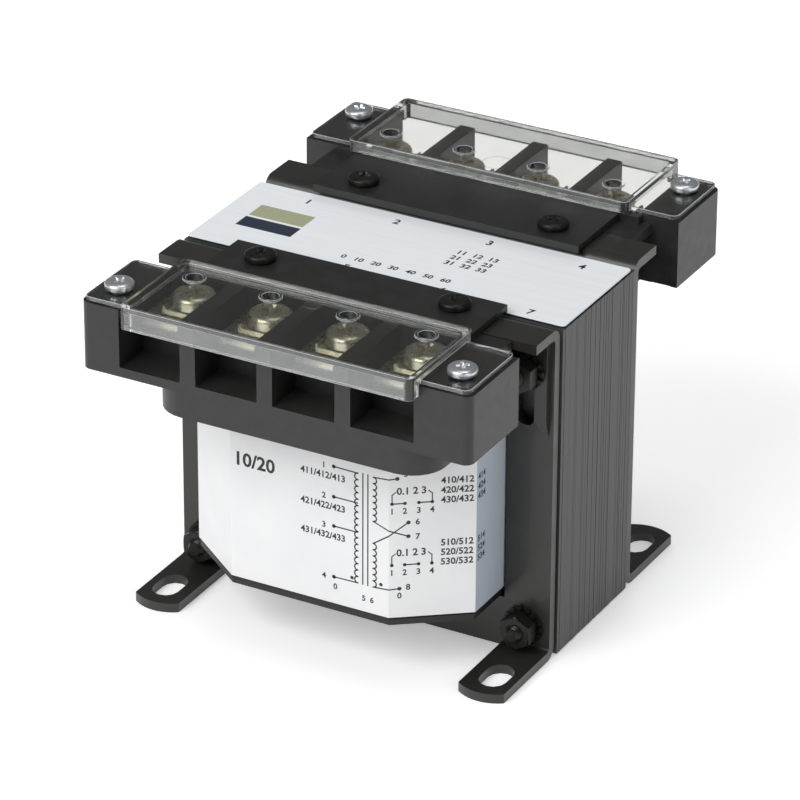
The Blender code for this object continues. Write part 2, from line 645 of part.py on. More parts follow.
def block():
    """Front terminal block: cells, seats, skirt, hollow ends and the strip that lies on the flange."""
    outline = [(-BLOCK_HALF, -BLOCK_INNER)]
    outline += arc(-BLOCK_HALF + BLOCK_CORNER, -BLOCK_OUTER + BLOCK_CORNER, BLOCK_CORNER, BLOCK_CORNER, 180, 270, 4)
    outline += arc(BLOCK_HALF - BLOCK_CORNER, -BLOCK_OUTER + BLOCK_CORNER, BLOCK_CORNER, BLOCK_CORNER, 270, 360, 4)
    outline += [(BLOCK_HALF, -BLOCK_INNER)]
    body = prism("block", outline, BLOCK_BOTTOM, BLOCK_TOP)
    strip = box("strip", (-STRIP_HALF, -BLOCK_INNER - 0.001, STRIP_BOTTOM), (STRIP_HALF, -STRIP_INNER, BLOCK_TOP))
    web = box("web", (-WEB_HALF, -BLOCK_INNER - 0.001, WEB_BOTTOM), (WEB_HALF, -FLANGE_REACH - SEAT_GAP, WEB_TOP))
    lip_bottom = CORE_TOP + SEAT_GAP + TOP_PLATE_THICK + SEAT_GAP
    lip = box("lip", (-STRIP_HALF, -STRIP_INNER - STRIP_LIP, lip_bottom), (STRIP_HALF, -STRIP_INNER, BLOCK_TOP))
    cell_end = TERMINAL_XS[-1] - CELL_OFFSET + CELL_WIDTH / 2
    wall_half = max(cell_end, -TERMINAL_XS[0] + CELL_OFFSET + CELL_WIDTH / 2) + 0.0005
    inner_wall = box("inner_wall", (-wall_half, -BLOCK_INNER - 0.0005, BLOCK_BOTTOM),
                     (wall_half, -BLOCK_INNER + BLOCK_WALL, BLOCK_TOP))
    skirt_plan = [(-SKIRT_LEFT, -SKIRT_INNER)]
    skirt_plan += arc(-SKIRT_LEFT + SKIRT_CORNER, -BLOCK_OUTER + SKIRT_CORNER, SKIRT_CORNER, SKIRT_CORNER, 180, 270, 7)
    skirt_plan += arc(SKIRT_RIGHT - SKIRT_CORNER, -BLOCK_OUTER + SKIRT_CORNER, SKIRT_CORNER, SKIRT_CORNER, 270, 360, 7)
    skirt_plan += [(SKIRT_RIGHT, -SKIRT_INNER)]
    skirt = prism("skirt", skirt_plan, SKIRT_BOTTOM, BLOCK_BOTTOM + 0.001)
    bridge = box("bridge", (-STRIP_HALF, -BLOCK_INNER - 0.001, WEB_TOP - 0.001),
                 (STRIP_HALF, -FLANGE_REACH - SEAT_GAP, STRIP_BOTTOM + 0.001))
    join(body, [inner_wall, strip, web, bridge, lip, skirt])

    room_plan = [(-SKIRT_LEFT + SKIRT_WALL, -SKIRT_INNER - SKIRT_WALL)]
    room = SKIRT_CORNER - SKIRT_WALL
    room_plan += arc(-SKIRT_LEFT + SKIRT_CORNER, -BLOCK_OUTER + SKIRT_CORNER, room, room, 180, 270, 5)
    room_plan += arc(SKIRT_RIGHT - SKIRT_CORNER, -BLOCK_OUTER + SKIRT_CORNER, room, room, 270, 360, 5)
    room_plan += [(SKIRT_RIGHT - SKIRT_WALL, -SKIRT_INNER - SKIRT_WALL)]
    cutters = [prism("skirt_room", room_plan, SKIRT_BOTTOM - 0.001, CELL_FLOOR - BLOCK_WALL)]
    beyond = BLOCK_OUTER + 0.001
    for x in TERMINAL_XS:
        low_x, high_x = x - CELL_OFFSET - CELL_WIDTH / 2, x - CELL_OFFSET + CELL_WIDTH / 2
        cutters.append(box("cell", (low_x, -beyond, SEAT_TOP), (high_x, -BLOCK_INNER, BLOCK_TOP + 0.001)))
        cutters.append(box("entry", (low_x, -beyond, CELL_FLOOR), (high_x, -SEAT_REACH, BLOCK_TOP + 0.001)))
        cutters.append(rod("screw_hole", SCREW_RADIUS + 2 * RUN_GAP, HEAD_BOTTOM - SCREW_LENGTH - SEAT_GAP,
                           SEAT_TOP + 0.001, (x, -TERMINAL_OUT)))
        cutters.append(box("tail_hole", (x - TAIL_SIDE - TAIL_WIDTH / 2 - RUN_GAP, -TAIL_OUT - TAIL_THICK / 2 - RUN_GAP,
                                         BLOCK_BOTTOM - 0.001),
                           (x - TAIL_SIDE + TAIL_WIDTH / 2 + RUN_GAP,
                            -TAIL_OUT + TAIL_THICK / 2 + SEAT_GAP + 2 * LEAD_RADIUS + RUN_GAP, SEAT_TOP + 0.001)))
    gutter_half = -TERMINAL_XS[0] + TAIL_SIDE + TAIL_WIDTH / 2
    gutter_out = TAIL_OUT + TAIL_THICK / 2 + RUN_GAP
    cutters.append(box("gutter", (-gutter_half, -gutter_out, BLOCK_BOTTOM - 0.001),
                       (gutter_half, -BLOCK_INNER + BLOCK_WALL + 0.001, GUTTER_TOP)))
    for side in (-1, 1):
        edges = sorted((side * POCKET_LOW_X, side * POCKET_HIGH_X))
        cutters.append(box("end_pocket", (edges[0], -BLOCK_INNER - POCKET_DEPTH, BLOCK_BOTTOM - 0.001),
                           (edges[1], -BLOCK_INNER + 0.001, BLOCK_TOP - BLOCK_WALL)))
        cutters.append(rod("cover_screw_hole", COVER_SCREW_RADIUS + RUN_GAP, TAB_BOTTOM - COVER_SCREW_LENGTH,
                           BLOCK_TOP + 0.001, (side * COVER_SCREW_X, -COVER_SCREW_OUT)))
        cutters.append(rod("block_screw_hole", BLOCK_SCREW_RADIUS + RUN_GAP, STRIP_BOTTOM - 0.001,
                           BLOCK_TOP + 0.001, (side * BLOCK_SCREW_X, -BLOCK_SCREW_OUT)))
    return cut(body, cutters)


def cover():
    """Front cover: raised box over the cells, a flat tab at each end, and collared access holes."""
    corner = COVER_CORNER
    plan = rounded_rectangle(-COVER_HALF, COVER_HALF, -COVER_OUTER, -COVER_INNER, corner)
    room = rounded_rectangle(-COVER_HALF + COVER_WALL, COVER_HALF - COVER_WALL, -COVER_OUTER + COVER_WALL,
                             -COVER_INNER - COVER_WALL, corner / 2)
    body = prism("cover", plan, COVER_LIP_BOTTOM, COVER_TOP)
    tabs = prism("tabs", rounded_rectangle(-TAB_HALF, TAB_HALF, -TAB_OUTER, -TAB_INNER, corner), TAB_BOTTOM,
                 TAB_BOTTOM + TAB_THICK)
    collars = [rod("collar", COLLAR_RADIUS, COVER_TOP - COVER_WALL / 2, COVER_TOP + COLLAR_RISE, (x, -TERMINAL_OUT))
               for x in TERMINAL_XS]
    join(body, [tabs] + collars)
    cutters = [prism("room", room, COVER_LIP_BOTTOM - 0.001, COVER_TOP - COVER_WALL)]
    over_block = BLOCK_OUTER + SEAT_GAP
    cutters.append(box("block_space", (-COVER_HALF - 0.001, -over_block, COVER_LIP_BOTTOM - 0.001),
                       (COVER_HALF + 0.001, -COVER_INNER + 0.001, TAB_BOTTOM)))
    for x in TERMINAL_XS:
        cutters.append(rod("access_hole", ACCESS_RADIUS, COVER_TOP - COVER_WALL - 0.001, COVER_TOP + 0.001,
                           (x, -TERMINAL_OUT)))
    for side in (-1, 1):
        cutters.append(rod("tab_hole", COVER_SCREW_RADIUS + RUN_GAP, TAB_BOTTOM - 0.001,
                           TAB_BOTTOM + TAB_THICK + 0.001, (side * COVER_SCREW_X, -COVER_SCREW_OUT)))
    return cut(body, cutters)


def pan_screw(name, seat, head_radius, head, shank, length, dome=0.35):
    """A pan-head screw about Z, with a crowned head, a tapered tip and a cross recess."""
    crown = head * dome
    profile = [(0.0, seat + head)]
    profile += [(head_radius * 0.65, seat + head - crown * 0.25), (head_radius * 0.93, seat + head - crown),
                (head_radius, seat + head - crown * 1.7), (head_radius, seat), (shank, seat),
                (shank, seat - length + shank * 0.6), (shank * 0.5, seat - length), (0.0, seat - length)]
    body = turned(name, profile)
    arms = []
    scale = head_radius / SCREW_HEAD_RADIUS
    for long_x, long_y in ((RECESS_LENGTH, RECESS_WIDTH), (RECESS_WIDTH, RECESS_LENGTH)):
        half_x, half_y = long_x * scale / 2, long_y * scale / 2
        arms.append(box("recess", (-half_x, -half_y, seat + head - RECESS_DEPTH * scale),
                        (half_x, half_y, seat + head + 0.001)))
    cross = join(arms[0], [arms[1]])
    return cut(body, [cross])


def terminals(brass, zinc):
    """Eight terminals: plate with its tail, clamp plate, and screw about the terminal's axis."""
    tail_high = PLATE_BOTTOM + PLATE_THICK / 2
    rear_edge = TERMINAL_OUT - BLOCK_INNER - SEAT_GAP
    front_edge = PLATE_REACH - TERMINAL_OUT
    tail_y = TERMINAL_OUT - TAIL_OUT
    plate = box("plate", (-CELL_OFFSET - PLATE_WIDTH / 2 - 0.0006, -front_edge, PLATE_BOTTOM),
                (-CELL_OFFSET + PLATE_WIDTH / 2 + 0.0006, rear_edge, PLATE_BOTTOM + PLATE_THICK))
    tail = box("tail", (-TAIL_SIDE - TAIL_WIDTH / 2, tail_y - TAIL_THICK / 2, TAIL_BOTTOM),
               (-TAIL_SIDE + TAIL_WIDTH / 2, tail_y + TAIL_THICK / 2, tail_high))
    join(plate, [tail])
    cut(plate, [rod("hole", SCREW_RADIUS + RUN_GAP, PLATE_BOTTOM - 0.001, PLATE_BOTTOM + PLATE_THICK + 0.001, (0.0, 0.0))])

    half = CLAMP_SIZE / 2
    clamp = box("clamp", (-half, -half, CLAMP_BOTTOM), (half, half, CLAMP_BOTTOM + CLAMP_THICK))
    lips = [box("lip", (side * half - (side + 1) / 2 * CLAMP_LIP, -half, CLAMP_BOTTOM + CLAMP_THICK / 2),
                (side * half - (side - 1) / 2 * CLAMP_LIP, half, CLAMP_BOTTOM + CLAMP_THICK + CLAMP_LIP))
            for side in (-1, 1)]
    join(clamp, lips)
    cut(clamp, [rod("hole", SCREW_RADIUS + RUN_GAP, CLAMP_BOTTOM - 0.001, CLAMP_BOTTOM + CLAMP_THICK + 0.001, (0.0, 0.0)),
                rod("head_room", SCREW_HEAD_RADIUS + RUN_GAP, CLAMP_BOTTOM + CLAMP_THICK, HEAD_BOTTOM + SCREW_HEAD,
                    (0.0, 0.0))])

    screw = pan_screw("screw", HEAD_BOTTOM, SCREW_HEAD_RADIUS, SCREW_HEAD, SCREW_RADIUS, SCREW_LENGTH)
    number = 0
    for end, turn in ((-1, 0.0), (1, math.pi)):
        for x in TERMINAL_XS:
            number += 1
            where = (-end * x, end * TERMINAL_OUT, 0.0)
            place(f"terminal_plate_{number}", plate, brass, where, turn)
            place(f"clamp_plate_{number}", clamp, brass, where, turn)
            place(f"terminal_screw_{number}", screw, zinc, where, turn)


def small_screws(black, zinc):
    """Screws that hold the blocks to the frames and the covers to the blocks."""
    strip_face = BLOCK_TOP + SEAT_GAP
    block_screw = pan_screw("block_screw", strip_face, BLOCK_SCREW_HEAD_RADIUS, BLOCK_SCREW_HEAD,
                            BLOCK_SCREW_RADIUS, BLOCK_SCREW_LENGTH)
    tab_face = TAB_BOTTOM + TAB_THICK + SEAT_GAP
    cover_screw = pan_screw("cover_screw", tab_face, COVER_SCREW_HEAD_RADIUS, COVER_SCREW_HEAD,
                            COVER_SCREW_RADIUS, COVER_SCREW_LENGTH)
    number = 0
    for end in (-1, 1):
        for side in (-1, 1):
            number += 1
            place(f"block_screw_{number}", block_screw, black, (side * BLOCK_SCREW_X, end * BLOCK_SCREW_OUT, 0.0))
            place(f"cover_screw_{number}", cover_screw, zinc, (side * COVER_SCREW_X, end * COVER_SCREW_OUT, 0.0))


def top_plate():
    """Thin metal plate on top of the core."""
    low = CORE_TOP + SEAT_GAP
    half_x, half_y = TOP_PLATE_WIDTH / 2, TOP_PLATE_DEPTH / 2
    return prism("plate_sheet", rounded_rectangle(-half_x, half_x, -half_y, half_y, 0.0008, 2), low, low + TOP_PLATE_THICK)


def build():
    """Makes every part."""
    clear_scene()
    steel_sheet = finish_material("silicon_steel", (0.105, 0.108, 0.105), 0.55, 0.3)
    black_paint = finish_material("black_paint", (0.030, 0.030, 0.028), 0.45, 0.0)
    zinc_black = finish_material("black_zinc", (0.045, 0.045, 0.043), 0.40, 0.6)
    grey_plastic = finish_material("grey_thermoset", (0.070, 0.072, 0.070), 0.50, 0.0)
    black_plastic = finish_material("black_nylon", (0.020, 0.020, 0.020), 0.50, 0.0)
    copper = finish_material("enamelled_copper", (0.48, 0.17, 0.06), 0.30, 0.8)
    film = finish_material("white_film", (0.88, 0.88, 0.90), 0.40, 0.0)
    clear = finish_material("clear_polycarbonate", (0.90, 0.92, 0.92), 0.05, 0.0, 0.25)
    brass = finish_material("plated_brass", (0.58, 0.56, 0.40), 0.35, 0.9)
    zinc = finish_material("bright_zinc", (0.75, 0.78, 0.80), 0.25, 0.95)
    aluminium = finish_material("brushed_aluminium", (0.68, 0.70, 0.72), 0.40, 0.8)

    place("core_laminations", core(), steel_sheet)
    both_ends("end_frame", frame(), black_paint)
    core_bolts(zinc_black)
    coil(black_plastic, copper, film)
    both_ends("terminal_block", block(), grey_plastic)
    terminals(brass, zinc)
    both_ends("cover", cover(), clear)
    small_screws(zinc_black, zinc)
    place("top_plate", top_plate(), aluminium)
    for item in list(CUTTERS.objects):
        bpy.data.objects.remove(item, do_unlink=True)


build()
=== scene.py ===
"""Looks of a panel control transformer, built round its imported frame.

Each sub-assembly is a class: its sizes are fields, its methods build the meshes and dress them.
Lengths inside the classes are in millimetres and are turned to metres as a mesh is made.
"""

import logging
import math
from dataclasses import dataclass, field
from enum import Enum
from typing import Callable, Iterable, Optional, Sequence

import bmesh
import bpy
from mathutils import Matrix, Vector


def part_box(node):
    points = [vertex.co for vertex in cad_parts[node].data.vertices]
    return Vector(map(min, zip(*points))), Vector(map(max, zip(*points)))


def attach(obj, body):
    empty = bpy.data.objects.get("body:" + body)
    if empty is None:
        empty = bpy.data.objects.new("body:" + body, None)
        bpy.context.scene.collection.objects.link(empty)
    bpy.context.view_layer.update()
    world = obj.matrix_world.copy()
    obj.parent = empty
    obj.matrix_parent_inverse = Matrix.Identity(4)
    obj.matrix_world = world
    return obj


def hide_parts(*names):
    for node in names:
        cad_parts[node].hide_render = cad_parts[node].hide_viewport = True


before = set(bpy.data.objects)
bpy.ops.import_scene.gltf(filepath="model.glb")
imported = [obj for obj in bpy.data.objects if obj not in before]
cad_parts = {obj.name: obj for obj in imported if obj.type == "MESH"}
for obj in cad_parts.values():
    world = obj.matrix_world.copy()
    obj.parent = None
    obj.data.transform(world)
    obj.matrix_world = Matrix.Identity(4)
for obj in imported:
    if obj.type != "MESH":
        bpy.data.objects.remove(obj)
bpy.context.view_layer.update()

MM = 0.001
BODY = "transformer"
LOG = logging.getLogger("transformer")
# Octaves of the noise that moves a finish's colour and gloss, and of the noise of its relief.
DRIFT_OCTAVES = 4.0
RELIEF_OCTAVES = 2.0
# The part of the noise's range that holds nearly all of its values.
NOISE_SPAN = (0.3, 0.7)
# How near a level a point counts as being on it, in millimetres.
LEVEL_REACH = 0.3
# A face with more of its normal along X than this faces sideways, and takes the film's painted shade.
SIDEWAYS = 0.95
# A face with less of its normal along Z than this is upright.
UPRIGHT = 0.1
# A figure's height as a share of the font's size.
FIGURE_HEIGHT = 1 / 1.4
# How far a figure's outline is pushed out, as a share of its height.
BOLD = 0.035
# A thread's root radius as a share of its outer radius.
THREAD_ROOT = 0.84

Point2 = tuple[float, float]
Point3 = tuple[float, float, float]
Piece = bpy.types.Object
Mesh = bpy.types.Mesh
Tree = bpy.types.NodeTree
Node = bpy.types.Node
Socket = bpy.types.NodeSocket


class End(Enum):
    """The two ends of the transformer: the turn about Z that brings the front pieces there."""

    FRONT = 0.0
    REAR = math.pi

    @property
    def label(self) -> str:
        """The word used in the names of this end's pieces."""
        return self.name.lower()


# Colour and nodes


def linear(hex_code: str) -> tuple[float, float, float, float]:
    """Turns an sRGB hex colour to a linear RGBA value.

    Args:
        hex_code: Six hex digits, with or without a leading hash sign.

    Returns:
        Red, green, blue and alpha, from 0 to 1.
    """
    digits = hex_code.lstrip("#")
    channels = []
    for start in (0, 2, 4):
        value = int(digits[start:start + 2], 16) / 255
        channels.append(value / 12.92 if value <= 0.04045 else ((value + 0.055) / 1.055) ** 2.4)
    return (channels[0], channels[1], channels[2], 1.0)


def add_node(tree: Tree, kind: str, settings: Optional[dict] = None, inputs: Optional[dict] = None) -> Node:
    """Adds a node, sets its properties and fills or links its inputs.

    Args:
        tree: The node tree to add to.
        kind: The node's type name.
        settings: Property names and values.
        inputs: Input names or numbers, each with a value or an output socket to link from.

    Returns:
        The new node.
    """
    node = tree.nodes.new(kind)
    for name, value in (settings or {}).items():
        setattr(node, name, value)
    for key, value in (inputs or {}).items():
        if isinstance(value, Socket):
            tree.links.new(value, node.inputs[key])
        else:
            node.inputs[key].default_value = value
    return node


@dataclass(frozen=True)
class Finish:
    """A surface: its colour, gloss and the small unevenness that the eye reads as the material.

    Attributes:
        name: The material's name.
        colour: Main colour, sRGB hex.
        second: Colour that the pattern drifts to, sRGB hex.
        roughness: Mean roughness.
        spread: How far the pattern moves the roughness up and down.
        metallic: 0 or 1, or between for a coated metal.
        grain: Size of the pattern along X, Y and Z, in millimetres.
        relief: Height of the bump, in millimetres.
        relief_grain: Size of the bump's grain along X, Y and Z, in millimetres.
        coat: Weight of a clear coat.
        transmission: 1 for a clear plastic.
        ior: Index of refraction of a plastic; metals keep the default.
    """

    name: str
    colour: str
    second: str
    roughness: float
    spread: float = 0.05
    metallic: float = 0.0
    grain: Point3 = (3.0, 3.0, 3.0)
    relief: float = 0.0
    relief_grain: Point3 = (0.3, 0.3, 0.3)
    coat: float = 0.0
    transmission: float = 0.0
    ior: Optional[float] = None

    def build(self) -> bpy.types.Material:
        """Makes the material."""
        material = bpy.data.materials.new(self.name)
        material.use_nodes = True
        tree = material.node_tree
        shader = tree.nodes["Principled BSDF"]
        shader.inputs["Metallic"].default_value = self.metallic
        shader.inputs["Coat Weight"].default_value = self.coat
        shader.inputs["Transmission Weight"].default_value = self.transmission
        if self.ior is not None:
            shader.inputs["IOR"].default_value = self.ior
        place = add_node(tree, "ShaderNodeTexCoord").outputs["Object"]
        drift = self.pattern(tree, place, self.grain, DRIFT_OCTAVES)
        colour = add_node(tree, "ShaderNodeMix", {"data_type": "RGBA"},
                          {"Factor": drift, 6: linear(self.colour), 7: linear(self.second)})
        tree.links.new(colour.outputs[2], shader.inputs["Base Color"])
        rough = add_node(tree, "ShaderNodeMapRange", None,
                         {"Value": drift, "To Min": self.roughness - self.spread,
                          "To Max": self.roughness + self.spread})
        tree.links.new(rough.outputs["Result"], shader.inputs["Roughness"])
        if self.relief:
            height = self.pattern(tree, place, self.relief_grain, RELIEF_OCTAVES)
            bump = add_node(tree, "ShaderNodeBump", None,
                            {"Height": height, "Distance": self.relief * MM, "Strength": 1.0})
            tree.links.new(bump.outputs["Normal"], shader.inputs["Normal"])
        material.diffuse_color = linear(self.colour)
        return material

    @staticmethod
    def pattern(tree: Tree, place: Socket, grain: Point3, detail: float) -> Socket:
        """A soft noise, spread to the full range from 0 to 1.

        Args:
            tree: The material's tree.
            place: The coordinates to read.
            grain: Size of the noise along each axis, in millimetres.
            detail: Octaves of the noise.

        Returns:
            The socket with the value.
        """
        scale = tuple(1.0 / (size * MM) for size in grain)
        mapped = add_node(tree, "ShaderNodeMapping", None, {"Vector": place, "Scale": scale})
        noise = add_node(tree, "ShaderNodeTexNoise", None,
                         {"Vector": mapped.outputs["Vector"], "Scale": 1.0, "Detail": detail})
        spread = add_node(tree, "ShaderNodeMapRange", None,
                          {"Value": noise.outputs["Fac"], "From Min": NOISE_SPAN[0],
                           "From Max": NOISE_SPAN[1]})
        return spread.outputs["Result"]


# Thermoset moulding compound: a dull satin with the faint mottle of its filler.
BLOCK_PLASTIC = Finish("grey_thermoset_moulding", "#212120", "#292A29", 0.40, 0.05,
                       grain=(2.5, 2.5, 2.5), relief=0.012, relief_grain=(0.35, 0.35, 0.35), ior=1.5)
# Stoved black enamel on pressed sheet: a satin black, with a slight orange peel.
FRAME_ENAMEL = Finish("black_stoved_enamel", "#252523", "#2D2C29", 0.36, 0.06,
                      grain=(6.0, 6.0, 6.0), relief=0.010, relief_grain=(0.9, 0.9, 0.9), coat=0.15, ior=1.5)
# Stacked silicon steel under dark varnish: soft streaks that run with the sheets' edges.
STACK_VARNISH = Finish("varnished_silicon_steel", "#393B3A", "#4D4F4D", 0.42, 0.06, metallic=0.2,
                       grain=(40.0, 4.5, 90.0), relief=0.010, relief_grain=(8.0, 0.9, 30.0))
# Black passivated zinc on bolts and nuts: nearly black, with a broken sheen.
BLACK_ZINC = Finish("black_passivated_zinc", "#20201F", "#2C2C2A", 0.36, 0.10, metallic=0.55,
                    grain=(0.8, 0.8, 0.8))
# Bright zinc on the cover screws: cold white metal.
BRIGHT_ZINC = Finish("bright_zinc_plate", "#EEF2F5", "#DCE3E9", 0.33, 0.08, metallic=0.9,
                     grain=(0.7, 0.7, 0.7))
# Yellow passivated plating on the terminals: a pale straw sheen.
STRAW_PLATE = Finish("yellow_passivated_plate", "#EAE6D2", "#D2CDB2", 0.30, 0.08, metallic=0.85,
                     grain=(1.2, 1.2, 1.2))
# Moulded nylon of the bobbin: black and dull.
BOBBIN_NYLON = Finish("black_moulded_nylon", "#161616", "#1D1D1D", 0.48, 0.05, relief=0.008, ior=1.5)
# Polyester film round the coil: white, smooth, with a soft gloss.
WRAP_FILM = Finish("white_polyester_film", "#F1F1F2", "#EAEBEC", 0.34, 0.05, grain=(12.0, 12.0, 12.0),
                   relief=0.012, relief_grain=(9.0, 9.0, 9.0), ior=1.5)
# The film's sides, painted shade: a cool grey copy of the white film that stands in for the shade falling on
# its sideways faces.
SHADED_FILM_SIDE = Finish("white_film_over_winding", "#C8D2DD", "#BAC5D1", 0.36, 0.05, grain=(20.0, 20.0, 20.0))
# Clear polycarbonate of the covers: polished, with a faint grey of its own.
CLEAR_COVER = Finish("clear_polycarbonate", "#EDEEEA", "#E8E9E5", 0.045, 0.02, grain=(8.0, 8.0, 8.0),
                     transmission=0.994, ior=1.49)
# Moulded edges of the covers: painted highlight, the same plastic made matt and pale so that each edge shows
# as a pale line.
COVER_EDGE_HIGHLIGHT = Finish("clear_polycarbonate_matt_edge", "#E3E6E6", "#D6DADA", 0.34, 0.06, grain=(1.5, 1.5, 1.5),
                    transmission=0.12, ior=1.49)
# Sides of the access holes: painted shade, a dark grey that stands in for the dark of the cells piped through
# the clear plastic.
COVER_HOLE_SHADE = Finish("clear_polycarbonate_hole_side", "#3C3E3E", "#4A4C4C", 0.25, 0.05, grain=(1.5, 1.5, 1.5),
                    transmission=0.3, ior=1.49)
# Walls of the covers: drawn along the mould, so slightly milky beside the polished top.
COVER_WALL = Finish("clear_polycarbonate_milky_wall", "#F2F4F4", "#E8EBEB", 0.12, 0.05, grain=(6.0, 6.0, 1.5),
                    transmission=0.84, ior=1.49)
# Enamelled copper wire of the windings: warm, glossy, in fine turns that run round the coil.
COPPER_WIRE = Finish("enamelled_copper_wire", "#A8552C", "#7C3A1C", 0.28, 0.06, metallic=0.8,
                     grain=(30.0, 30.0, 0.9), relief=0.10, relief_grain=(60.0, 60.0, 0.9), coat=0.4)
# Printed aluminium plate: pale, matt, with a faint brushed grain along its length.
PLATE_ALUMINIUM = Finish("brushed_printed_aluminium", "#F0F4F8", "#E9EEF2", 0.45, 0.05, metallic=0.1,
                         grain=(30.0, 0.5, 30.0), relief=0.003, relief_grain=(25.0, 0.25, 25.0))
# Screen printing inks: flat, with a slight gloss.
BLACK_INK = Finish("black_screen_ink", "#1B1C1E", "#232426", 0.45, 0.04, grain=(0.6, 0.6, 0.6))
NAVY_INK = Finish("navy_screen_ink", "#27303F", "#2E3848", 0.42, 0.04, grain=(0.8, 0.8, 0.8))
KHAKI_INK = Finish("khaki_screen_ink", "#A6A88A", "#9EA083", 0.45, 0.04, grain=(0.8, 0.8, 0.8))


class Shelf:
    """Keeps each finish's material, so that pieces with one finish share it."""

    _made: dict[str, bpy.types.Material] = {}

    @classmethod
    def get(cls, finish: Finish) -> bpy.types.Material:
        """The material of a finish, made the first time it is asked for."""
        if finish.name not in cls._made:
            cls._made[finish.name] = finish.build()
        return cls._made[finish.name]


# Mesh helpers


def new_piece(name: str, mesh: Mesh) -> Piece:
    """Links a mesh into the scene as an object at the origin."""
    piece = bpy.data.objects.new(name, mesh)
    bpy.context.scene.collection.objects.link(piece)
    return piece


def mesh_from(name: str, work: bmesh.types.BMesh) -> Mesh:
    """Turns a bmesh to a mesh and frees it."""
    mesh = bpy.data.meshes.new(name)
    work.to_mesh(mesh)
    work.free()
    return mesh


def baked(piece: Piece) -> Piece:
    """Replaces a piece's mesh by what its modifiers make of it, and removes them."""
    bpy.context.view_layer.update()
    graph = bpy.context.evaluated_depsgraph_get()
    mesh = bpy.data.meshes.new_from_object(piece.evaluated_get(graph))
    piece.modifiers.clear()
    piece.data = mesh
    return piece


def shade(mesh: Mesh, angle: float = 35.0) -> None:
    """Shades a mesh smooth, with edges sharper than the angle kept sharp."""
    mesh.shade_smooth()
    mesh.set_sharp_from_angle(angle=math.radians(angle))


def bevelled(piece: Piece, width: float, segments: int = 2, angle: float = 32.0, slot: int = -1) -> Piece:
    """Rounds a piece's edges, and keeps its large faces flat to the eye.

    Args:
        piece: The piece, whose flat faces are whole polygons.
        width: Width of the rounding, in millimetres.
        segments: Faces across the rounding.
        angle: Edges flatter than this many degrees stay as they are.
        slot: Number of the material that the rounding takes, or -1 for that of the faces beside it.

    Returns:
        The same piece, with its new mesh.
    """
    piece.data.shade_smooth()
    bevel = piece.modifiers.new("edges", "BEVEL")
    bevel.width = width * MM
    bevel.segments = segments
    bevel.limit_method = "ANGLE"
    bevel.angle_limit = math.radians(angle)
    bevel.material = slot
    weigh = piece.modifiers.new("flat_faces", "WEIGHTED_NORMAL")
    weigh.keep_sharp = True
    return baked(piece)


def clean_copy(name: str, node: str) -> Piece:
    """A copy of a CAD node with its points merged and its flat faces made whole."""
    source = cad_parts[node].data
    work = bmesh.new()
    for vertex in source.vertices:
        work.verts.new(vertex.co)
    work.verts.ensure_lookup_table()
    for polygon in source.polygons:
        try:
            work.faces.new([work.verts[i] for i in polygon.vertices])
        except ValueError:
            LOG.debug("a doubled face in %s is left out", node)
    bmesh.ops.remove_doubles(work, verts=work.verts, dist=2e-6)
    bmesh.ops.dissolve_limit(work, angle_limit=math.radians(1.0), verts=work.verts, edges=work.edges)
    return new_piece(name, mesh_from(name, work))


def settle(piece: Piece, body: str, finish: Finish, nodes: Iterable[str] = ()) -> Piece:
    """Gives a finished piece its material and body, and hides the CAD nodes that it stands for.

    Args:
        piece: The piece, at the origin.
        body: The CAD body that it rides on.
        finish: Its finish; a mesh that has materials already keeps them.
        nodes: CAD nodes that it replaces.

    Returns:
        The same piece.
    """
    if not piece.data.materials:
        piece.data.materials.append(Shelf.get(finish))
    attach(piece, body)
    if nodes:
        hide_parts(*nodes)
    LOG.info("%s on %s: %d faces", piece.name, body, len(piece.data.polygons))
    return piece


def dressed(name: str, node: str, body: str, finish: Finish, edge: float,
            segments: int = 2) -> Piece:
    """Settles a copy of a CAD node with rounded edges.

    Args:
        name: The piece's name.
        node: The CAD node that it replaces.
        body: The CAD body that it rides on.
        finish: Its finish.
        edge: Width of the rounding, in millimetres.
        segments: Faces across the rounding.

    Returns:
        The piece.
    """
    return settle(bevelled(clean_copy(name, node), edge, segments), body, finish, [node])


def box_of(node: str) -> tuple[Vector, Vector]:
    """Lower and upper corner of a CAD node, in millimetres."""
    low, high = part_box(node)
    return low / MM, high / MM


def moved(mesh: Mesh, matrix: Matrix) -> Mesh:
    """A copy of a mesh, moved by a matrix in metres."""
    copy = mesh.copy()
    copy.transform(matrix)
    return copy


def lathe(name: str, profile: Sequence[Point2], sides: int = 48) -> Mesh:
    """Turns a closed profile of (radius, z), in millimetres, about the Z axis.

    Args:
        name: The mesh's name.
        profile: Points from the top on the axis down to the bottom on the axis.
        sides: Steps round the axis.

    Returns:
        The mesh, closed, with its normals outward.
    """
    work = bmesh.new()
    rings = []
    for radius, z in profile:
        if radius == 0.0:
            rings.append([work.verts.new((0.0, 0.0, z * MM))])
            continue
        ring = []
        for i in range(sides):
            angle = 2 * math.pi * i / sides
            x, y = radius * MM * math.cos(angle), radius * MM * math.sin(angle)
            ring.append(work.verts.new((x, y, z * MM)))
        rings.append(ring)
    for upper, lower in zip(rings, rings[1:]):
        for i in range(sides):
            j = (i + 1) % sides
            this_side = (upper[i % len(upper)], lower[i % len(lower)])
            next_side = (lower[j % len(lower)], upper[j % len(upper)])
            unique = list(dict.fromkeys(this_side + next_side))
            if len(unique) > 2:
                work.faces.new(unique)
    bmesh.ops.recalc_face_normals(work, faces=work.faces)
    return mesh_from(name, work)


def thread_profile(radius: float, pitch: float, top: float, bottom: float) -> list[Point2]:
    """Crests and roots of a thread, as rings, from its top down to its bottom."""
    points = []
    turns = int((top - bottom) / pitch)
    root = radius * THREAD_ROOT
    for i in range(turns):
        z = top - i * pitch
        points += [(root, z), (radius, z - pitch * 0.4), (radius, z - pitch * 0.6)]
    points.append((root, top - turns * pitch))
    return points


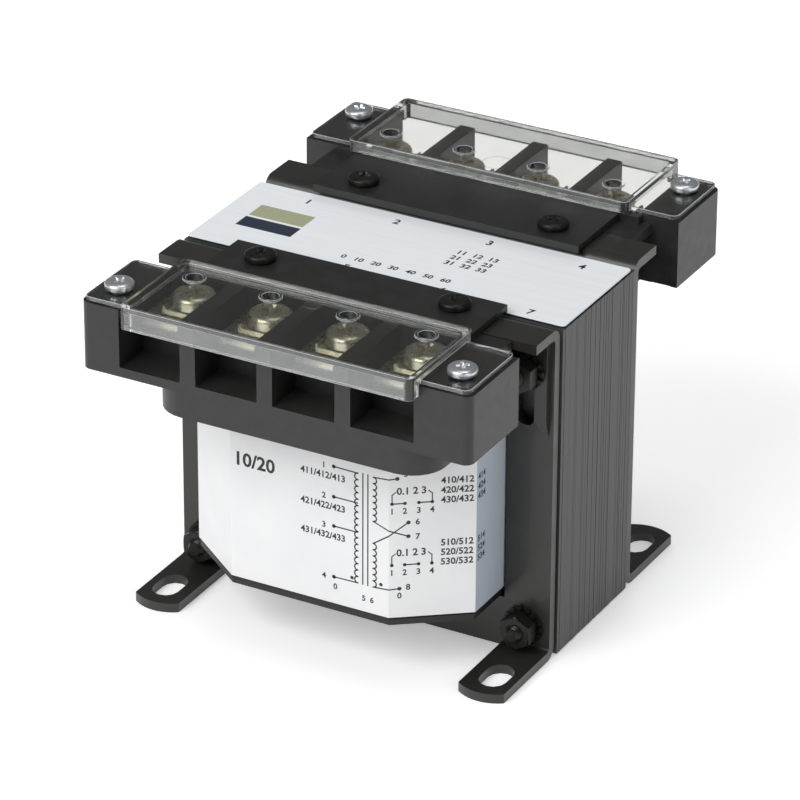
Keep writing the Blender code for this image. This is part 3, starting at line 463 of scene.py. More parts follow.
def taken(piece: Piece) -> Mesh:
    """The mesh of a helper object, which is removed."""
    mesh = piece.data
    bpy.data.objects.remove(piece, do_unlink=True)
    return mesh


def boolean(piece: Piece, cutters: Sequence[Piece], operation: str) -> Piece:
    """Cuts other objects out of a piece, joins them to it or keeps what they share, and removes them."""
    for cutter in cutters:
        step = piece.modifiers.new(cutter.name, "BOOLEAN")
        step.operation = operation
        step.solver = "EXACT"
        step.object = cutter
    baked(piece)
    for cutter in cutters:
        bpy.data.objects.remove(cutter, do_unlink=True)
    return piece


def slab(name: str, low: Sequence[float], high: Sequence[float]) -> Piece:
    """A block between two corners, in millimetres."""
    low_corner, high_corner = Vector(low) * MM, Vector(high) * MM
    work = bmesh.new()
    bmesh.ops.create_cube(work, size=1.0)
    bmesh.ops.scale(work, vec=high_corner - low_corner, verts=work.verts)
    bmesh.ops.translate(work, vec=(low_corner + high_corner) / 2, verts=work.verts)
    return new_piece(name, mesh_from(name, work))


# Geometry trees


def start_tree(name: str, inputs: dict[str, str]) -> tuple[Tree, Node]:
    """Starts a geometry tree with named inputs.

    Args:
        name: The tree's name.
        inputs: Name of each input, with the last part of its socket's type.

    Returns:
        The tree and its input node.
    """
    tree = bpy.data.node_groups.new(name, "GeometryNodeTree")
    for label, kind in inputs.items():
        tree.interface.new_socket(label, in_out="INPUT", socket_type=f"NodeSocket{kind}")
    tree.interface.new_socket("Geometry", in_out="OUTPUT", socket_type="NodeSocketGeometry")
    return tree, add_node(tree, "NodeGroupInput")


def end_tree(tree: Tree, geometry: Socket, finish: Finish) -> None:
    """Ends a geometry tree: makes the instances real and gives them their material."""
    real = add_node(tree, "GeometryNodeRealizeInstances", None, {0: geometry})
    painted = add_node(tree, "GeometryNodeSetMaterial", None,
                       {"Geometry": real.outputs[0], "Material": Shelf.get(finish)})
    add_node(tree, "NodeGroupOutput", None, {"Geometry": painted.outputs["Geometry"]})


def run_tree(piece: Piece, tree: Tree, values: dict) -> Piece:
    """Runs a geometry tree on a piece and keeps the result as its mesh.

    Args:
        piece: The piece that takes the result.
        tree: The geometry tree.
        values: Its inputs by name.

    Returns:
        The same piece.
    """
    step = piece.modifiers.new(tree.name, "NODES")
    step.node_group = tree
    for item in tree.interface.items_tree:
        if item.item_type == "SOCKET" and item.in_out == "INPUT" and item.name in values:
            step[item.identifier] = values[item.name]
    return baked(piece)


# Sub-assemblies


@dataclass(frozen=True)
class Lamp:
    """A square lamp that faces the object.

    Attributes:
        name: Its name.
        place: Where it stands, in metres.
        size: Its side, in metres.
        power: In watts.
        mirrored: Whether it shows in reflections and through the covers.
    """

    name: str
    place: Point3
    size: float
    power: float
    mirrored: bool = True

    def build(self, aim: Point3) -> None:
        """Adds the lamp, turned to a point in metres."""
        data = bpy.data.lights.new(self.name, "AREA")
        data.size = self.size
        data.energy = self.power
        lamp = bpy.data.objects.new(self.name, data)
        bpy.context.scene.collection.objects.link(lamp)
        lamp.location = self.place
        lamp.visible_glossy = self.mirrored
        lamp.visible_transmission = self.mirrored
        lamp.rotation_euler = (Vector(aim) - Vector(self.place)).to_track_quat("-Z", "Y").to_euler()


@dataclass
class Studio:
    """Floor, light and camera.

    Attributes:
        target: The point on the camera's axis, in millimetres.
        turn: The camera's place round the object, in degrees from the front.
        height: Its place above the horizon, in degrees.
        roll: Its turn about its own axis, in degrees.
        distance: From the target, in millimetres.
        lens: Focal length for the sensor's width.
        sensor: Width of the sensor.
        depth: Nearest and farthest distance that the camera sees, in metres.
        surround: Strength of the surround as light.
        mirrored: Its strength in reflections, where the dark end of the room would show.
        floor_half: Half the floor's side, in metres.
        floor_colour: The floor's colour, sRGB hex.
        floor_roughness: Its roughness.
        floor_glow: How far the floor is lifted to white where it is seen.
        aim: What the lamps face, in metres.
        lamps: The soft lamps: a large one from the front left, and weak ones above, beside and behind.
    """

    target: Point3 = (0.58, -4.04, 41.01)
    turn: float = 28.66
    height: float = 27.07
    roll: float = 0.27
    distance: float = 994.4
    lens: float = 226.07
    sensor: float = 36.0
    depth: Point2 = (0.05, 20.0)
    surround: float = 0.36
    mirrored: float = 0.12
    floor_half: float = 3.0
    floor_colour: str = "#F4F4F4"
    floor_roughness: float = 0.9
    floor_glow: float = 0.35
    aim: Point3 = (0.0, 0.0, 0.04)
    lamps: tuple[Lamp, ...] = (Lamp("key_lamp", (-0.35, -1.0, 0.95), 0.9, 12.6),
                               Lamp("top_lamp", (0.1, 0.1, 1.4), 0.6, 2.4),
                               Lamp("side_lamp", (1.1, -0.5, 0.6), 0.6, 2.0),
                               Lamp("rear_lamp", (-0.5, 1.2, 0.5), 0.8, 5.0, False))

    def camera(self) -> None:
        """Makes the camera at the photograph's angle."""
        turn, height = math.radians(self.turn), math.radians(self.height)
        level = math.cos(height)
        back = Vector((math.sin(turn) * level, -math.cos(turn) * level, math.sin(height)))
        data = bpy.data.cameras.new("camera")
        data.lens = self.lens
        data.sensor_width = self.sensor
        data.clip_start, data.clip_end = self.depth
        camera = bpy.data.objects.new("camera", data)
        bpy.context.scene.collection.objects.link(camera)
        camera.location = (Vector(self.target) + back * self.distance) * MM
        roll = Matrix.Rotation(math.radians(self.roll), 3, "Z")
        camera.rotation_euler = ((-back).to_track_quat("-Z", "Y").to_matrix() @ roll).to_euler()
        bpy.context.scene.camera = camera

    @staticmethod
    def seen(tree: Tree, rays: Sequence[str]) -> Socket:
        """A value of 1 for any of the named kinds of ray."""
        path = add_node(tree, "ShaderNodeLightPath")
        value = path.outputs[rays[0]]
        for ray in rays[1:]:
            value = add_node(tree, "ShaderNodeMath", {"operation": "MAXIMUM"},
                             {0: value, 1: path.outputs[ray]}).outputs[0]
        return value

    def floor(self) -> None:
        """Makes the pale floor, which shows as white and keeps the shadow."""
        work = bmesh.new()
        bmesh.ops.create_grid(work, x_segments=1, y_segments=1, size=self.floor_half)
        floor = new_piece("floor", mesh_from("floor", work))
        material = bpy.data.materials.new("matt_white_sweep")
        material.use_nodes = True
        tree = material.node_tree
        shader = tree.nodes["Principled BSDF"]
        shader.inputs["Base Color"].default_value = linear(self.floor_colour)
        shader.inputs["Roughness"].default_value = self.floor_roughness
        white = self.seen(tree, ("Is Camera Ray", "Is Glossy Ray", "Is Transmission Ray"))
        glow = add_node(tree, "ShaderNodeMath", {"operation": "MULTIPLY"}, {0: white, 1: self.floor_glow})
        tree.links.new(glow.outputs[0], shader.inputs["Emission Strength"])
        shader.inputs["Emission Color"].default_value = (1.0, 1.0, 1.0, 1.0)
        floor.data.materials.append(material)

    def light(self) -> None:
        """Makes the even surround and the soft lamps."""
        world = bpy.data.worlds.new("surround")
        bpy.context.scene.world = world
        world.use_nodes = True
        tree = world.node_tree
        tree.nodes["Background"].inputs["Color"].default_value = (1.0, 1.0, 1.0, 1.0)
        glossy = add_node(tree, "ShaderNodeMapRange", None,
                          {"Value": self.seen(tree, ("Is Glossy Ray",)), "To Min": self.surround,
                           "To Max": self.mirrored})
        strength = add_node(tree, "ShaderNodeMix", {"data_type": "FLOAT"},
                            {0: self.seen(tree, ("Is Camera Ray",)),
                             2: glossy.outputs["Result"], 3: 1.0})
        tree.links.new(strength.outputs[0], tree.nodes["Background"].inputs["Strength"])
        for lamp in self.lamps:
            lamp.build(self.aim)

    def build(self) -> None:
        """Makes the whole set."""
        bpy.context.scene.view_settings.view_transform = "Standard"
        self.camera()
        self.floor()
        self.light()


@dataclass
class CoreStack:
    """The stack of E and I sheets, made sheet by sheet.

    Attributes:
        sheet: Thickness of one sheet, in millimetres.
        gap: Air between two sheets, drawn a little wider than it is so that it shows.
        stagger: How far a sheet may stand back from the stack's face.
        seed: Picks how far each sheet stands back.
        window: Near and far edge of a window from the middle, along X.
        leg_height: Bottom and top of the windows.
    """

    sheet: float = 0.5
    gap: float = 0.014
    stagger: float = 0.04
    seed: int = 7
    window: Point2 = (14.0, 28.0)
    leg_height: Point2 = (11.5, 59.4)

    def sheet_mesh(self, low: Vector, high: Vector) -> Piece:
        """One sheet with its two windows, centred on Y."""
        half = self.sheet / 2
        plate = slab("sheet", (low.x, -half, low.z), (high.x, half, high.z))
        cutters = []
        for side in (-1, 1):
            near, far = sorted((side * self.window[0], side * self.window[1]))
            cutters.append(slab("window", (near, -self.sheet, self.leg_height[0]),
                                (far, self.sheet, self.leg_height[1])))
        return boolean(plate, cutters, "DIFFERENCE")

    def stack_tree(self, sheet: Piece, count: int) -> Tree:
        """The tree that lays the sheets side by side, each a little out of line.

        Args:
            sheet: The object to repeat.
            count: Number of sheets.

        Returns:
            The node tree, with inputs Pitch and Stagger.
        """
        tree, given = start_tree("sheet_stack", {"Pitch": "Float", "Stagger": "Float"})
        pitch, stagger = given.outputs["Pitch"], given.outputs["Stagger"]
        start = add_node(tree, "ShaderNodeMath", {"operation": "MULTIPLY"}, {0: pitch, 1: (1 - count) / 2})
        first = add_node(tree, "ShaderNodeCombineXYZ", None, {"Y": start.outputs[0]})
        step = add_node(tree, "ShaderNodeCombineXYZ", None, {"Y": pitch})
        line = add_node(tree, "GeometryNodeMeshLine", None,
                        {"Count": count, "Start Location": first.outputs[0], "Offset": step.outputs[0]})
        least = add_node(tree, "ShaderNodeMath", {"operation": "MULTIPLY"}, {0: stagger, 1: -1.0})
        lower = add_node(tree, "ShaderNodeCombineXYZ", None, {"X": least.outputs[0], "Z": least.outputs[0]})
        upper = add_node(tree, "ShaderNodeCombineXYZ", None, {"X": stagger, "Z": stagger})
        shift = add_node(tree, "FunctionNodeRandomValue", {"data_type": "FLOAT_VECTOR"},
                         {0: lower.outputs[0], 1: upper.outputs[0], "Seed": self.seed})
        jogged = add_node(tree, "GeometryNodeSetPosition", None,
                          {"Geometry": line.outputs["Mesh"], "Offset": shift.outputs[0]})
        source = add_node(tree, "GeometryNodeObjectInfo", None, {"Object": sheet})
        laid = add_node(tree, "GeometryNodeInstanceOnPoints", None,
                        {"Points": jogged.outputs["Geometry"], "Instance": source.outputs["Geometry"]})
        end_tree(tree, laid.outputs[0], STACK_VARNISH)
        return tree

    def build(self) -> None:
        """Makes the stack in place of the plain solid."""
        low, high = box_of("core_laminations")
        inset = Vector((self.stagger, 0.0, self.stagger))
        sheet = self.sheet_mesh(low + inset, high - inset)
        pitch = self.sheet + self.gap
        count = int((high.y - low.y + self.gap) / pitch)
        stack = new_piece("lamination_stack", bpy.data.meshes.new("lamination_stack"))
        run_tree(stack, self.stack_tree(sheet, count), {"Pitch": pitch * MM, "Stagger": self.stagger * MM})
        bpy.data.objects.remove(sheet, do_unlink=True)
        settle(stack, BODY, STACK_VARNISH, ["core_laminations"])


@dataclass
class EndFrames:
    """The two pressed frames with their feet.

    Attributes:
        edge: Rounding of the edges, in millimetres.
    """

    edge: float = 0.22

    def build(self) -> None:
        """Makes both frames with rounded edges."""
        for end in End:
            node = f"{end.label}_end_frame"
            dressed(f"{end.label}_frame_pressing", node, BODY, FRAME_ENAMEL, self.edge)


@dataclass
class CoreBolts:
    """Bolts, nuts and toothed washers that clamp the frames on the core.

    Attributes:
        across: Hexagon across flats, in millimetres.
        chamfer: Radius of a hexagon's flat end as a share of its inner radius, and the slope beyond.
        play: Room round the thread in a nut and in a washer.
        head: Height of the bolt's head.
        thread: Radius over the thread.
        pitch: Pitch of the thread.
        threaded: Length of the thread.
        teeth: Teeth of a washer.
        tooth_reach: How far a tooth reaches in and out from the ring's rim.
        tooth_share: A tooth's width as a share of its step round the ring.
        thin: Thickness of the ring and of a tooth as shares of the washer's.
        twist: How far a tooth is twisted out of the ring, in degrees.
    """

    across: float = 6.4
    chamfer: Point2 = (0.97, 0.5)
    play: Point2 = (0.1, 0.3)
    head: float = 2.4
    thread: float = 1.75
    pitch: float = 0.6
    threaded: float = 11.6
    teeth: int = 14
    tooth_reach: Point2 = (-0.45, 1.0)
    tooth_share: float = 0.72
    thin: Point2 = (0.6, 0.5)
    twist: float = 14.0

    def hexagon(self, name: str, thick: float, hole: float) -> Mesh:
        """A chamfered hexagon from z = 0 up to its thickness, with a hole where asked."""
        corner = self.across / math.sqrt(3)
        work = bmesh.new()
        bmesh.ops.create_cone(work, cap_ends=True, segments=6, radius1=corner * MM, radius2=corner * MM,
                              depth=thick * MM)
        bmesh.ops.translate(work, vec=(0.0, 0.0, thick * MM / 2), verts=work.verts)
        body = new_piece(name, mesh_from(name, work))
        flat = self.across / 2 * self.chamfer[0]
        beyond, slope = corner * 1.02, (corner - flat) * self.chamfer[1]
        profile = [(0.0, thick), (flat, thick), (beyond, thick - slope), (beyond, 0.0), (0.0, 0.0)]
        boolean(body, [new_piece("turned", lathe("turned", profile))], "INTERSECT")
        if hole:
            profile = [(0.0, thick + 1), (hole, thick + 1), (hole, -1.0), (0.0, -1.0)]
            boolean(body, [new_piece("bore", lathe("bore", profile, 32))], "DIFFERENCE")
        mesh = taken(body)
        shade(mesh, 25)
        return mesh

    @staticmethod
    def washer_tree(tooth: Piece, ring: Piece, radius: float) -> Tree:
        """The tree that sets teeth round a ring, with the input Teeth."""
        tree, given = start_tree("washer_teeth", {"Teeth": "Int"})
        circle = add_node(tree, "GeometryNodeMeshCircle", None,
                          {"Vertices": given.outputs["Teeth"], "Radius": radius * MM})
        index = add_node(tree, "GeometryNodeInputIndex")
        step = add_node(tree, "ShaderNodeMath", {"operation": "DIVIDE"},
                        {0: 2 * math.pi, 1: given.outputs["Teeth"]})
        angle = add_node(tree, "ShaderNodeMath", {"operation": "MULTIPLY"},
                         {0: index.outputs[0], 1: step.outputs[0]})
        turn = add_node(tree, "ShaderNodeCombineXYZ", None, {"Z": angle.outputs[0]})
        source = add_node(tree, "GeometryNodeObjectInfo", None, {"Object": tooth})
        laid = add_node(tree, "GeometryNodeInstanceOnPoints", None,
                        {"Points": circle.outputs[0], "Instance": source.outputs["Geometry"],
                         "Rotation": turn.outputs[0]})
        plain = add_node(tree, "GeometryNodeObjectInfo", None, {"Object": ring})
        both = add_node(tree, "GeometryNodeJoinGeometry", None, {0: plain.outputs["Geometry"]})
        tree.links.new(laid.outputs[0], both.inputs[0])
        end_tree(tree, both.outputs[0], BLACK_ZINC)
        return tree

    def washer(self, outer: float, thick: float) -> Mesh:
        """A toothed washer from z = 0 up, with each tooth twisted out of the plane."""
        near, far = self.tooth_reach
        inner, root = self.thread + self.play[1], outer - far
        low, under = (thick * (1 - share) / 2 for share in self.thin)
        high, over = (thick * (1 + share) / 2 for share in self.thin)
        profile = [(inner, high), (root, high), (root, low), (inner, low), (inner, high)]
        ring = new_piece("ring", lathe("ring", profile))
        width = 2 * math.pi * root / self.teeth * self.tooth_share
        tooth = slab("tooth", (near, -width / 2, under), (far, width / 2, over))
        lift = Matrix.Translation((0.0, 0.0, thick * MM / 2))
        twist = Matrix.Rotation(math.radians(self.twist), 4, "X")
        tooth.data.transform(lift @ twist @ lift.inverted())
        result = new_piece("washer", bpy.data.meshes.new("washer"))
        run_tree(result, self.washer_tree(tooth, ring, root), {"Teeth": self.teeth})
        for scrap in (ring, tooth):
            bpy.data.objects.remove(scrap, do_unlink=True)
        mesh = taken(result)
        shade(mesh, 30)
        return mesh

    def build(self) -> None:
        """Makes the twelve pieces from three shapes."""
        to_front = Matrix.Rotation(math.pi / 2, 4, "X")
        for number in range(1, 5):
            low, high = box_of(f"core_bolt_{number}")
            nut_low, nut_high = box_of(f"core_nut_{number}")
            ring_low, ring_high = box_of(f"core_washer_{number}")
            middle = (low + high) / 2
            nut = self.hexagon("nut", nut_high.y - nut_low.y, self.thread + self.play[0])
            ring = self.washer((ring_high.x - ring_low.x) / 2, ring_high.y - ring_low.y)
            bolt = self.bolt(high.y - low.y)
            for name, node, mesh, back in (("hexagon_nut", "core_nut", nut, nut_high.y),
                                           ("toothed_washer", "core_washer", ring, ring_high.y),
                                           ("clamp_bolt", "core_bolt", bolt, high.y - self.head)):
                place = Matrix.Translation(Vector((middle.x, back, middle.z)) * MM) @ to_front
                settle(new_piece(f"{name}_{number}", moved(mesh, place)), BODY, BLACK_ZINC,
                       [f"{node}_{number}"])

    def bolt(self, whole: float) -> Mesh:
        """One bolt of a whole length: its head below z = 0, its thread up to the tip."""
        length = whole - self.head
        profile = [(0.0, length), (self.thread * 0.7, length), (self.thread * THREAD_ROOT, length - 0.35)]
        profile += thread_profile(self.thread, self.pitch, length - 0.4, length - 0.4 - self.threaded)
        profile += [(self.thread, length - 0.9 - self.threaded), (self.thread, 0.0), (0.0, 0.0)]
        shank = lathe("shank", profile, 28)
        cap = moved(self.hexagon("bolt_head", self.head, 0.0), Matrix.Rotation(math.pi, 4, "X"))
        work = bmesh.new()
        work.from_mesh(shank)
        work.from_mesh(cap)
        mesh = mesh_from("bolt", work)
        shade(mesh, 30)
        return mesh


class Ink:
    """Thin printed shapes, drawn flat in millimetres and then laid on a surface.

    Attributes:
        thick: Thickness of the print.
    """

    def __init__(self, thick: float = 0.03) -> None:
        """Starts an empty sheet."""
        self.thick = thick
        self.work = bmesh.new()

    def bar(self, start: Point2, end: Point2, width: float) -> None:
        """Draws a straight line."""
        begin, finish = Vector(start), Vector(end)
        run = finish - begin
        turn = Matrix.Rotation(math.atan2(run.y, run.x), 4, "Z")
        middle = (begin + finish) / 2
        made = bmesh.ops.create_cube(self.work, size=1.0)["verts"]
        bmesh.ops.scale(self.work, vec=(run.length + width, width, self.thick), verts=made)
        place = Matrix.Translation((middle.x, middle.y, 0.0)) @ turn
        bmesh.ops.transform(self.work, matrix=place, verts=made)

    def trace(self, points: Sequence[Point2], width: float) -> None:
        """Draws a line through points."""
        for start, end in zip(points, points[1:]):
            self.bar(start, end, width)

    def dot(self, centre: Point2, radius: float) -> None:
        """Draws a round spot."""
        place = Matrix.Translation((centre[0], centre[1], 0.0))
        bmesh.ops.create_cone(self.work, cap_ends=True, segments=16, radius1=radius, radius2=radius,
                              depth=self.thick, matrix=place)

    def coil_line(self, x: float, low: float, high: float, side: int, bumps: int, width: float) -> None:
        """Draws a winding's wavy line up the sheet.

        Args:
            x: Where the bumps start from.
            low: Lower end.
            high: Upper end.
            side: 1 where the bumps stand to the right, -1 to the left.
            bumps: Number of bumps.
            width: Width of the line.
        """
        radius = (high - low) / bumps / 2
        steps = 6
        points = []
        for i in range(bumps * steps + 1):
            angle = math.pi * (i % steps) / steps
            centre = low + radius * (2 * (i // steps) + 1)
            points.append((x + side * radius * math.sin(angle), centre - radius * math.cos(angle)))
        points[-1] = (x, high)
        self.trace(points, width)

    def figures(self, text: str, centre: Point2, height: float) -> None:
        """Writes plain numbers of a height, about a middle."""
        curve = bpy.data.curves.new("figures", "FONT")
        curve.body = text
        curve.size = height / FIGURE_HEIGHT
        curve.align_x = "CENTER"
        curve.align_y = "CENTER"
        curve.extrude = self.thick / 2
        curve.offset = height * BOLD
        curve.resolution_u = 3
        item = bpy.data.objects.new("figures", curve)
        bpy.context.scene.collection.objects.link(item)
        bpy.context.view_layer.update()
        mesh = bpy.data.meshes.new_from_object(item.evaluated_get(bpy.context.evaluated_depsgraph_get()))
        bpy.data.objects.remove(item, do_unlink=True)
        mesh.transform(Matrix.Translation((centre[0], centre[1], 0.0)))
        self.work.from_mesh(mesh)

    def laid(self, name: str, place: Callable[[Vector], Vector], folds: Sequence[float] = ()) -> Piece:
        """Turns the sheet to a piece.

        Args:
            name: The piece's name.
            place: Maps a point of the sheet, with its height, to a point of the object, in millimetres.
            folds: Where the surface under it bends, so that the print bends there too.

        Returns:
            The piece, at the origin.
        """
        for fold in folds:
            cut = self.work.verts[:] + self.work.edges[:] + self.work.faces[:]
            bmesh.ops.bisect_plane(self.work, geom=cut, plane_co=(fold, 0.0, 0.0), plane_no=(1.0, 0.0, 0.0))
        for vertex in self.work.verts:
            vertex.co = place(vertex.co) * MM
        bmesh.ops.remove_doubles(self.work, verts=self.work.verts, dist=1e-7)
        bmesh.ops.recalc_face_normals(self.work, faces=self.work.faces)
        return new_piece(name, mesh_from(name, self.work))


@dataclass
class Label:
    """Diagram of the windings and plain numbers, in millimetres along the film and up.

    Attributes:
        line: Width of a line.
        dots: Radius of the dots at a lead's end, in a link diagram and at a winding's start.
        small: Height of a plain number.
        rows: Height of the numbers in rows.
        core: Places of the two lines that stand for the core.
        span: Lower and upper end of the windings.
        coils: Where the bumps of the left and the right winding start.
        gap: Lower and upper edge of the gap between the right winding's halves.
        bumps: Bumps of the left winding and of each half of the right one.
        taps: Heights of the left winding's taps.
        tap_end: Where the taps' dots are.
        leads: The right winding's leads: height at the winding, place of the dot, place of the number.
        starts: Places of the dots at the windings' starts.
        link_dots: Places of the four dots of a link diagram.
        links: Height of each link diagram, with the stretches that are linked.
        row_tops: Height of each block of rows at the right, with its first number.
        row_step: From one row down to the next.
        loose: Other numbers, each with its middle and height.
    """

    line: float = 0.27
    dots: Point3 = (0.42, 0.36, 0.38)
    small: float = 1.25
    rows: float = 1.4
    core: Point2 = (11.9, 13.0)
    span: Point2 = (19.6, 43.6)
    coils: Point2 = (10.8, 14.2)
    gap: Point2 = (29.2, 34.0)
    bumps: tuple[int, int] = (17, 7)
    taps: tuple[float, ...] = (43.7, 37.1, 30.7, 19.5)
    tap_end: float = 5.5
    leads: tuple = ((43.6, (19.2, 44.0), (20.9, 44.9)), (29.2, (21.4, 34.4), (23.2, 34.4)),
                    (34.0, (21.4, 31.4), (23.2, 31.2)), (19.6, (19.7, 20.0), (21.4, 20.2)))
    starts: tuple[Point2, Point2] = ((9.5, 20.4), (15.9, 20.6))
    link_dots: tuple[float, ...] = (18.2, 20.7, 23.4, 26.0)
    links: tuple = ((38.6, ((18.2, 20.7), (23.3, 25.9))), (25.2, ((20.7, 23.6),)))
    row_tops: tuple = ((43.0, 41), (29.5, 51))
    row_step: float = 2.1
    loose: tuple = (("0", (5.8, 17.4), 1.25), ("0", (19.7, 18.4), 1.25), ("10/20", (-12.2, 39.9), 2.9),
                    ("5  6", (13.0, 16.5), 1.2))

    def symbol(self, ink: Ink) -> None:
        """Draws the two windings, their core, their taps and their leads."""
        (low, high), (left, right), (below, above) = self.span, self.coils, self.gap
        for x in self.core:
            ink.bar((x, low), (x, high + 0.2), self.line)
        ink.coil_line(left, low, high, -1, self.bumps[0], self.line)
        ink.coil_line(right, above, high, 1, self.bumps[1], self.line)
        ink.coil_line(right, low, below, 1, self.bumps[1], self.line)
        for height in self.taps:
            ink.bar((self.tap_end, height), (left - 0.1, min(max(height, low), high)), self.line)
            ink.dot((self.tap_end, height), self.dots[0])
        for height, end, _ in self.leads:
            ink.bar((right, height), end, self.line)
            ink.dot(end, self.dots[0])
        for spot in self.starts:
            ink.dot(spot, self.dots[2])

    def bridges(self, ink: Ink) -> None:
        """Draws the small link diagrams beside the symbol."""
        first, last = self.link_dots[0], self.link_dots[-1]
        for base, links in self.links:
            for start, end in links:
                ink.bar((start, base), (end, base), self.line)
            for x in self.link_dots:
                ink.dot((x, base), self.dots[1])
            for x, inward in ((first, 0.7), (last, -0.7)):
                ink.trace(((x, base), (x, base + 1.9), (x + inward, base + 2.5)), self.line * 0.8)
            for number, x in enumerate(self.link_dots, 1):
                ink.figures(str(number), (x, base - 1.7), self.small)
            ink.figures("0.1 2 3", (22.0, base + 2.6), 1.5)

    def numbers(self, ink: Ink) -> None:
        """Writes the plain numbers: beside the taps, under them, and in rows at the right."""
        for number, height in enumerate(self.taps, 1):
            ink.figures(str(number), (3.3, height - 0.2), self.small)
            if height != self.taps[-1]:
                row = "/".join(str(400 + 10 * number + place) for place in (1, 2, 3))
                ink.figures(row, (3.1, height - 2.3), self.rows)
        for number, (_, _, spot) in enumerate(self.leads, 5):
            ink.figures(str(number), spot, self.small)
        for top, first in self.row_tops:
            for row in range(3):
                number, height = first + row, top - self.row_step * row
                ink.figures(f"{number}0/{number}2", (30.9, height), self.rows)
                ink.figures(f"{number}4", (36.6, height), self.rows)
        for row, spot, height in self.loose:
            ink.figures(row, spot, height)

    def build(self, place: Callable[[Vector], Vector], folds: Sequence[float]) -> None:
        """Prints the label.

        Args:
            place: Lays a point of the label on the film.
            folds: Where the film bends.
        """
        ink = Ink()
        self.symbol(ink)
        self.bridges(ink)
        self.numbers(ink)
        settle(ink.laid("label_print", place, folds), BODY, BLACK_INK)


@dataclass
class Coil:
    """Bobbin, windings and the white film round them, folded straight across the bobbin's corners.

    Attributes:
        edge: Rounding of the bobbin's edges, in millimetres.
        film_edge: Rounding of the film's folds.
        corner: Width and depth of a folded corner.
        label: The print on the film.
    """

    edge: float = 0.25
    film_edge: float = 0.08
    corner: Point2 = (13.6, 10.3)
    label: Label = field(default_factory=Label)

    def fold(self, wrap: Piece, high: Vector, levels: tuple[float, float]) -> None:
        """Pulls round corners straight.

        Args:
            wrap: The film, or a winding inside it.
            high: The film's upper corner, in millimetres.
            levels: Lower and upper level to work on; points between them, such as a lead's end, stay.
        """
        for vertex in wrap.data.vertices:
            if min(abs(vertex.co.z / MM - level) for level in levels) > LEVEL_REACH:
                continue
            across = (abs(vertex.co.x) / MM - (high.x - self.corner[0])) / self.corner[0]
            out = (abs(vertex.co.y) / MM - (high.y - self.corner[1])) / self.corner[1]
            if across < 0.0 or out < 0.0:
                continue
            share = math.hypot(across, out) / (across + out)
            x = high.x - self.corner[0] + across * share * self.corner[0]
            y = high.y - self.corner[1] + out * share * self.corner[1]
            vertex.co.x = math.copysign(x * MM, vertex.co.x)
            vertex.co.y = math.copysign(y * MM, vertex.co.y)

    def on_film(self, high: Vector) -> Callable[[Vector], Vector]:
        """Where a point of the unrolled label lies: along the film from the front's middle, and up."""
        flat = high.x - self.corner[0]
        slope = math.hypot(*self.corner)

        def place(point: Vector) -> Vector:
            run, side, lift = abs(point.x), math.copysign(1.0, point.x), point.z
            if run <= flat:
                return Vector((point.x, -high.y - lift, point.y))
            if run <= flat + slope:
                share = (run - flat) / slope
                normal = Vector((self.corner[1], self.corner[0])) / slope
                return Vector((side * (flat + self.corner[0] * share + normal.x * lift),
                               -high.y + self.corner[1] * share - normal.y * lift, point.y))
            back = run - flat - slope
            return Vector((side * (high.x + lift), -high.y + self.corner[1] + back, point.y))

        return place

    def build(self) -> None:
        """Dresses the coil's pieces and prints the label."""
        low, high = box_of("coil_wrap")
        bobbin = clean_copy("bobbin_flanges", "coil_bobbin")
        self.fold(bobbin, high, (box_of("coil_bobbin")[0].z, low.z))
        settle(bevelled(bobbin, self.edge), BODY, BOBBIN_NYLON, ["coil_bobbin"])
        wrap = clean_copy("film_wrap", "coil_wrap")
        self.fold(wrap, high, (low.z, high.z))
        for finish in (WRAP_FILM, SHADED_FILM_SIDE):
            wrap.data.materials.append(Shelf.get(finish))
        # Sideways faces take the cool grey copy of the film, which is painted shade.
        for face in wrap.data.polygons:
            face.material_index = int(abs(face.normal.x) > SIDEWAYS)
        settle(bevelled(wrap, self.film_edge, 1), BODY, WRAP_FILM, ["coil_wrap"])
        flat = high.x - self.corner[0]
        self.label.build(self.on_film(high), (flat, flat + math.hypot(*self.corner)))
        for node in ("primary_winding", "secondary_winding"):
            wound = clean_copy(f"wound_{node}", node)
            self.fold(wound, high, (low.z, high.z))
            settle(wound, BODY, COPPER_WIRE, [node])


@dataclass
class TerminalBlocks:
    """The two moulded blocks, with a thin wall on the inner side of their hollow ends.

    Attributes:
        edge: Rounding of the edges, in millimetres.
        wall_low: Lower corner of the wall at the right of the front block.
        wall_high: Its upper corner.
    """

    edge: float = 0.3
    wall_low: Point3 = (36.2, -35.4, 59.5)
    wall_high: Point3 = (41.2, -34.0, 72.6)

    def build(self) -> None:
        """Makes both blocks with rounded edges."""
        (left, front, bottom), (right, rear, top) = self.wall_low, self.wall_high
        for end in End:
            node = f"{end.label}_terminal_block"
            piece = clean_copy(f"{end.label}_block_moulding", node)
            spin = Matrix.Rotation(end.value, 4, "Z")
            for low_x, high_x in ((left, right), (-right, -left)):
                wall = slab("end_wall", (low_x, front, bottom), (high_x, rear, top))
                wall.data.transform(spin)
                boolean(piece, [wall], "UNION")
            settle(bevelled(piece, self.edge), BODY, BLOCK_PLASTIC, [node])


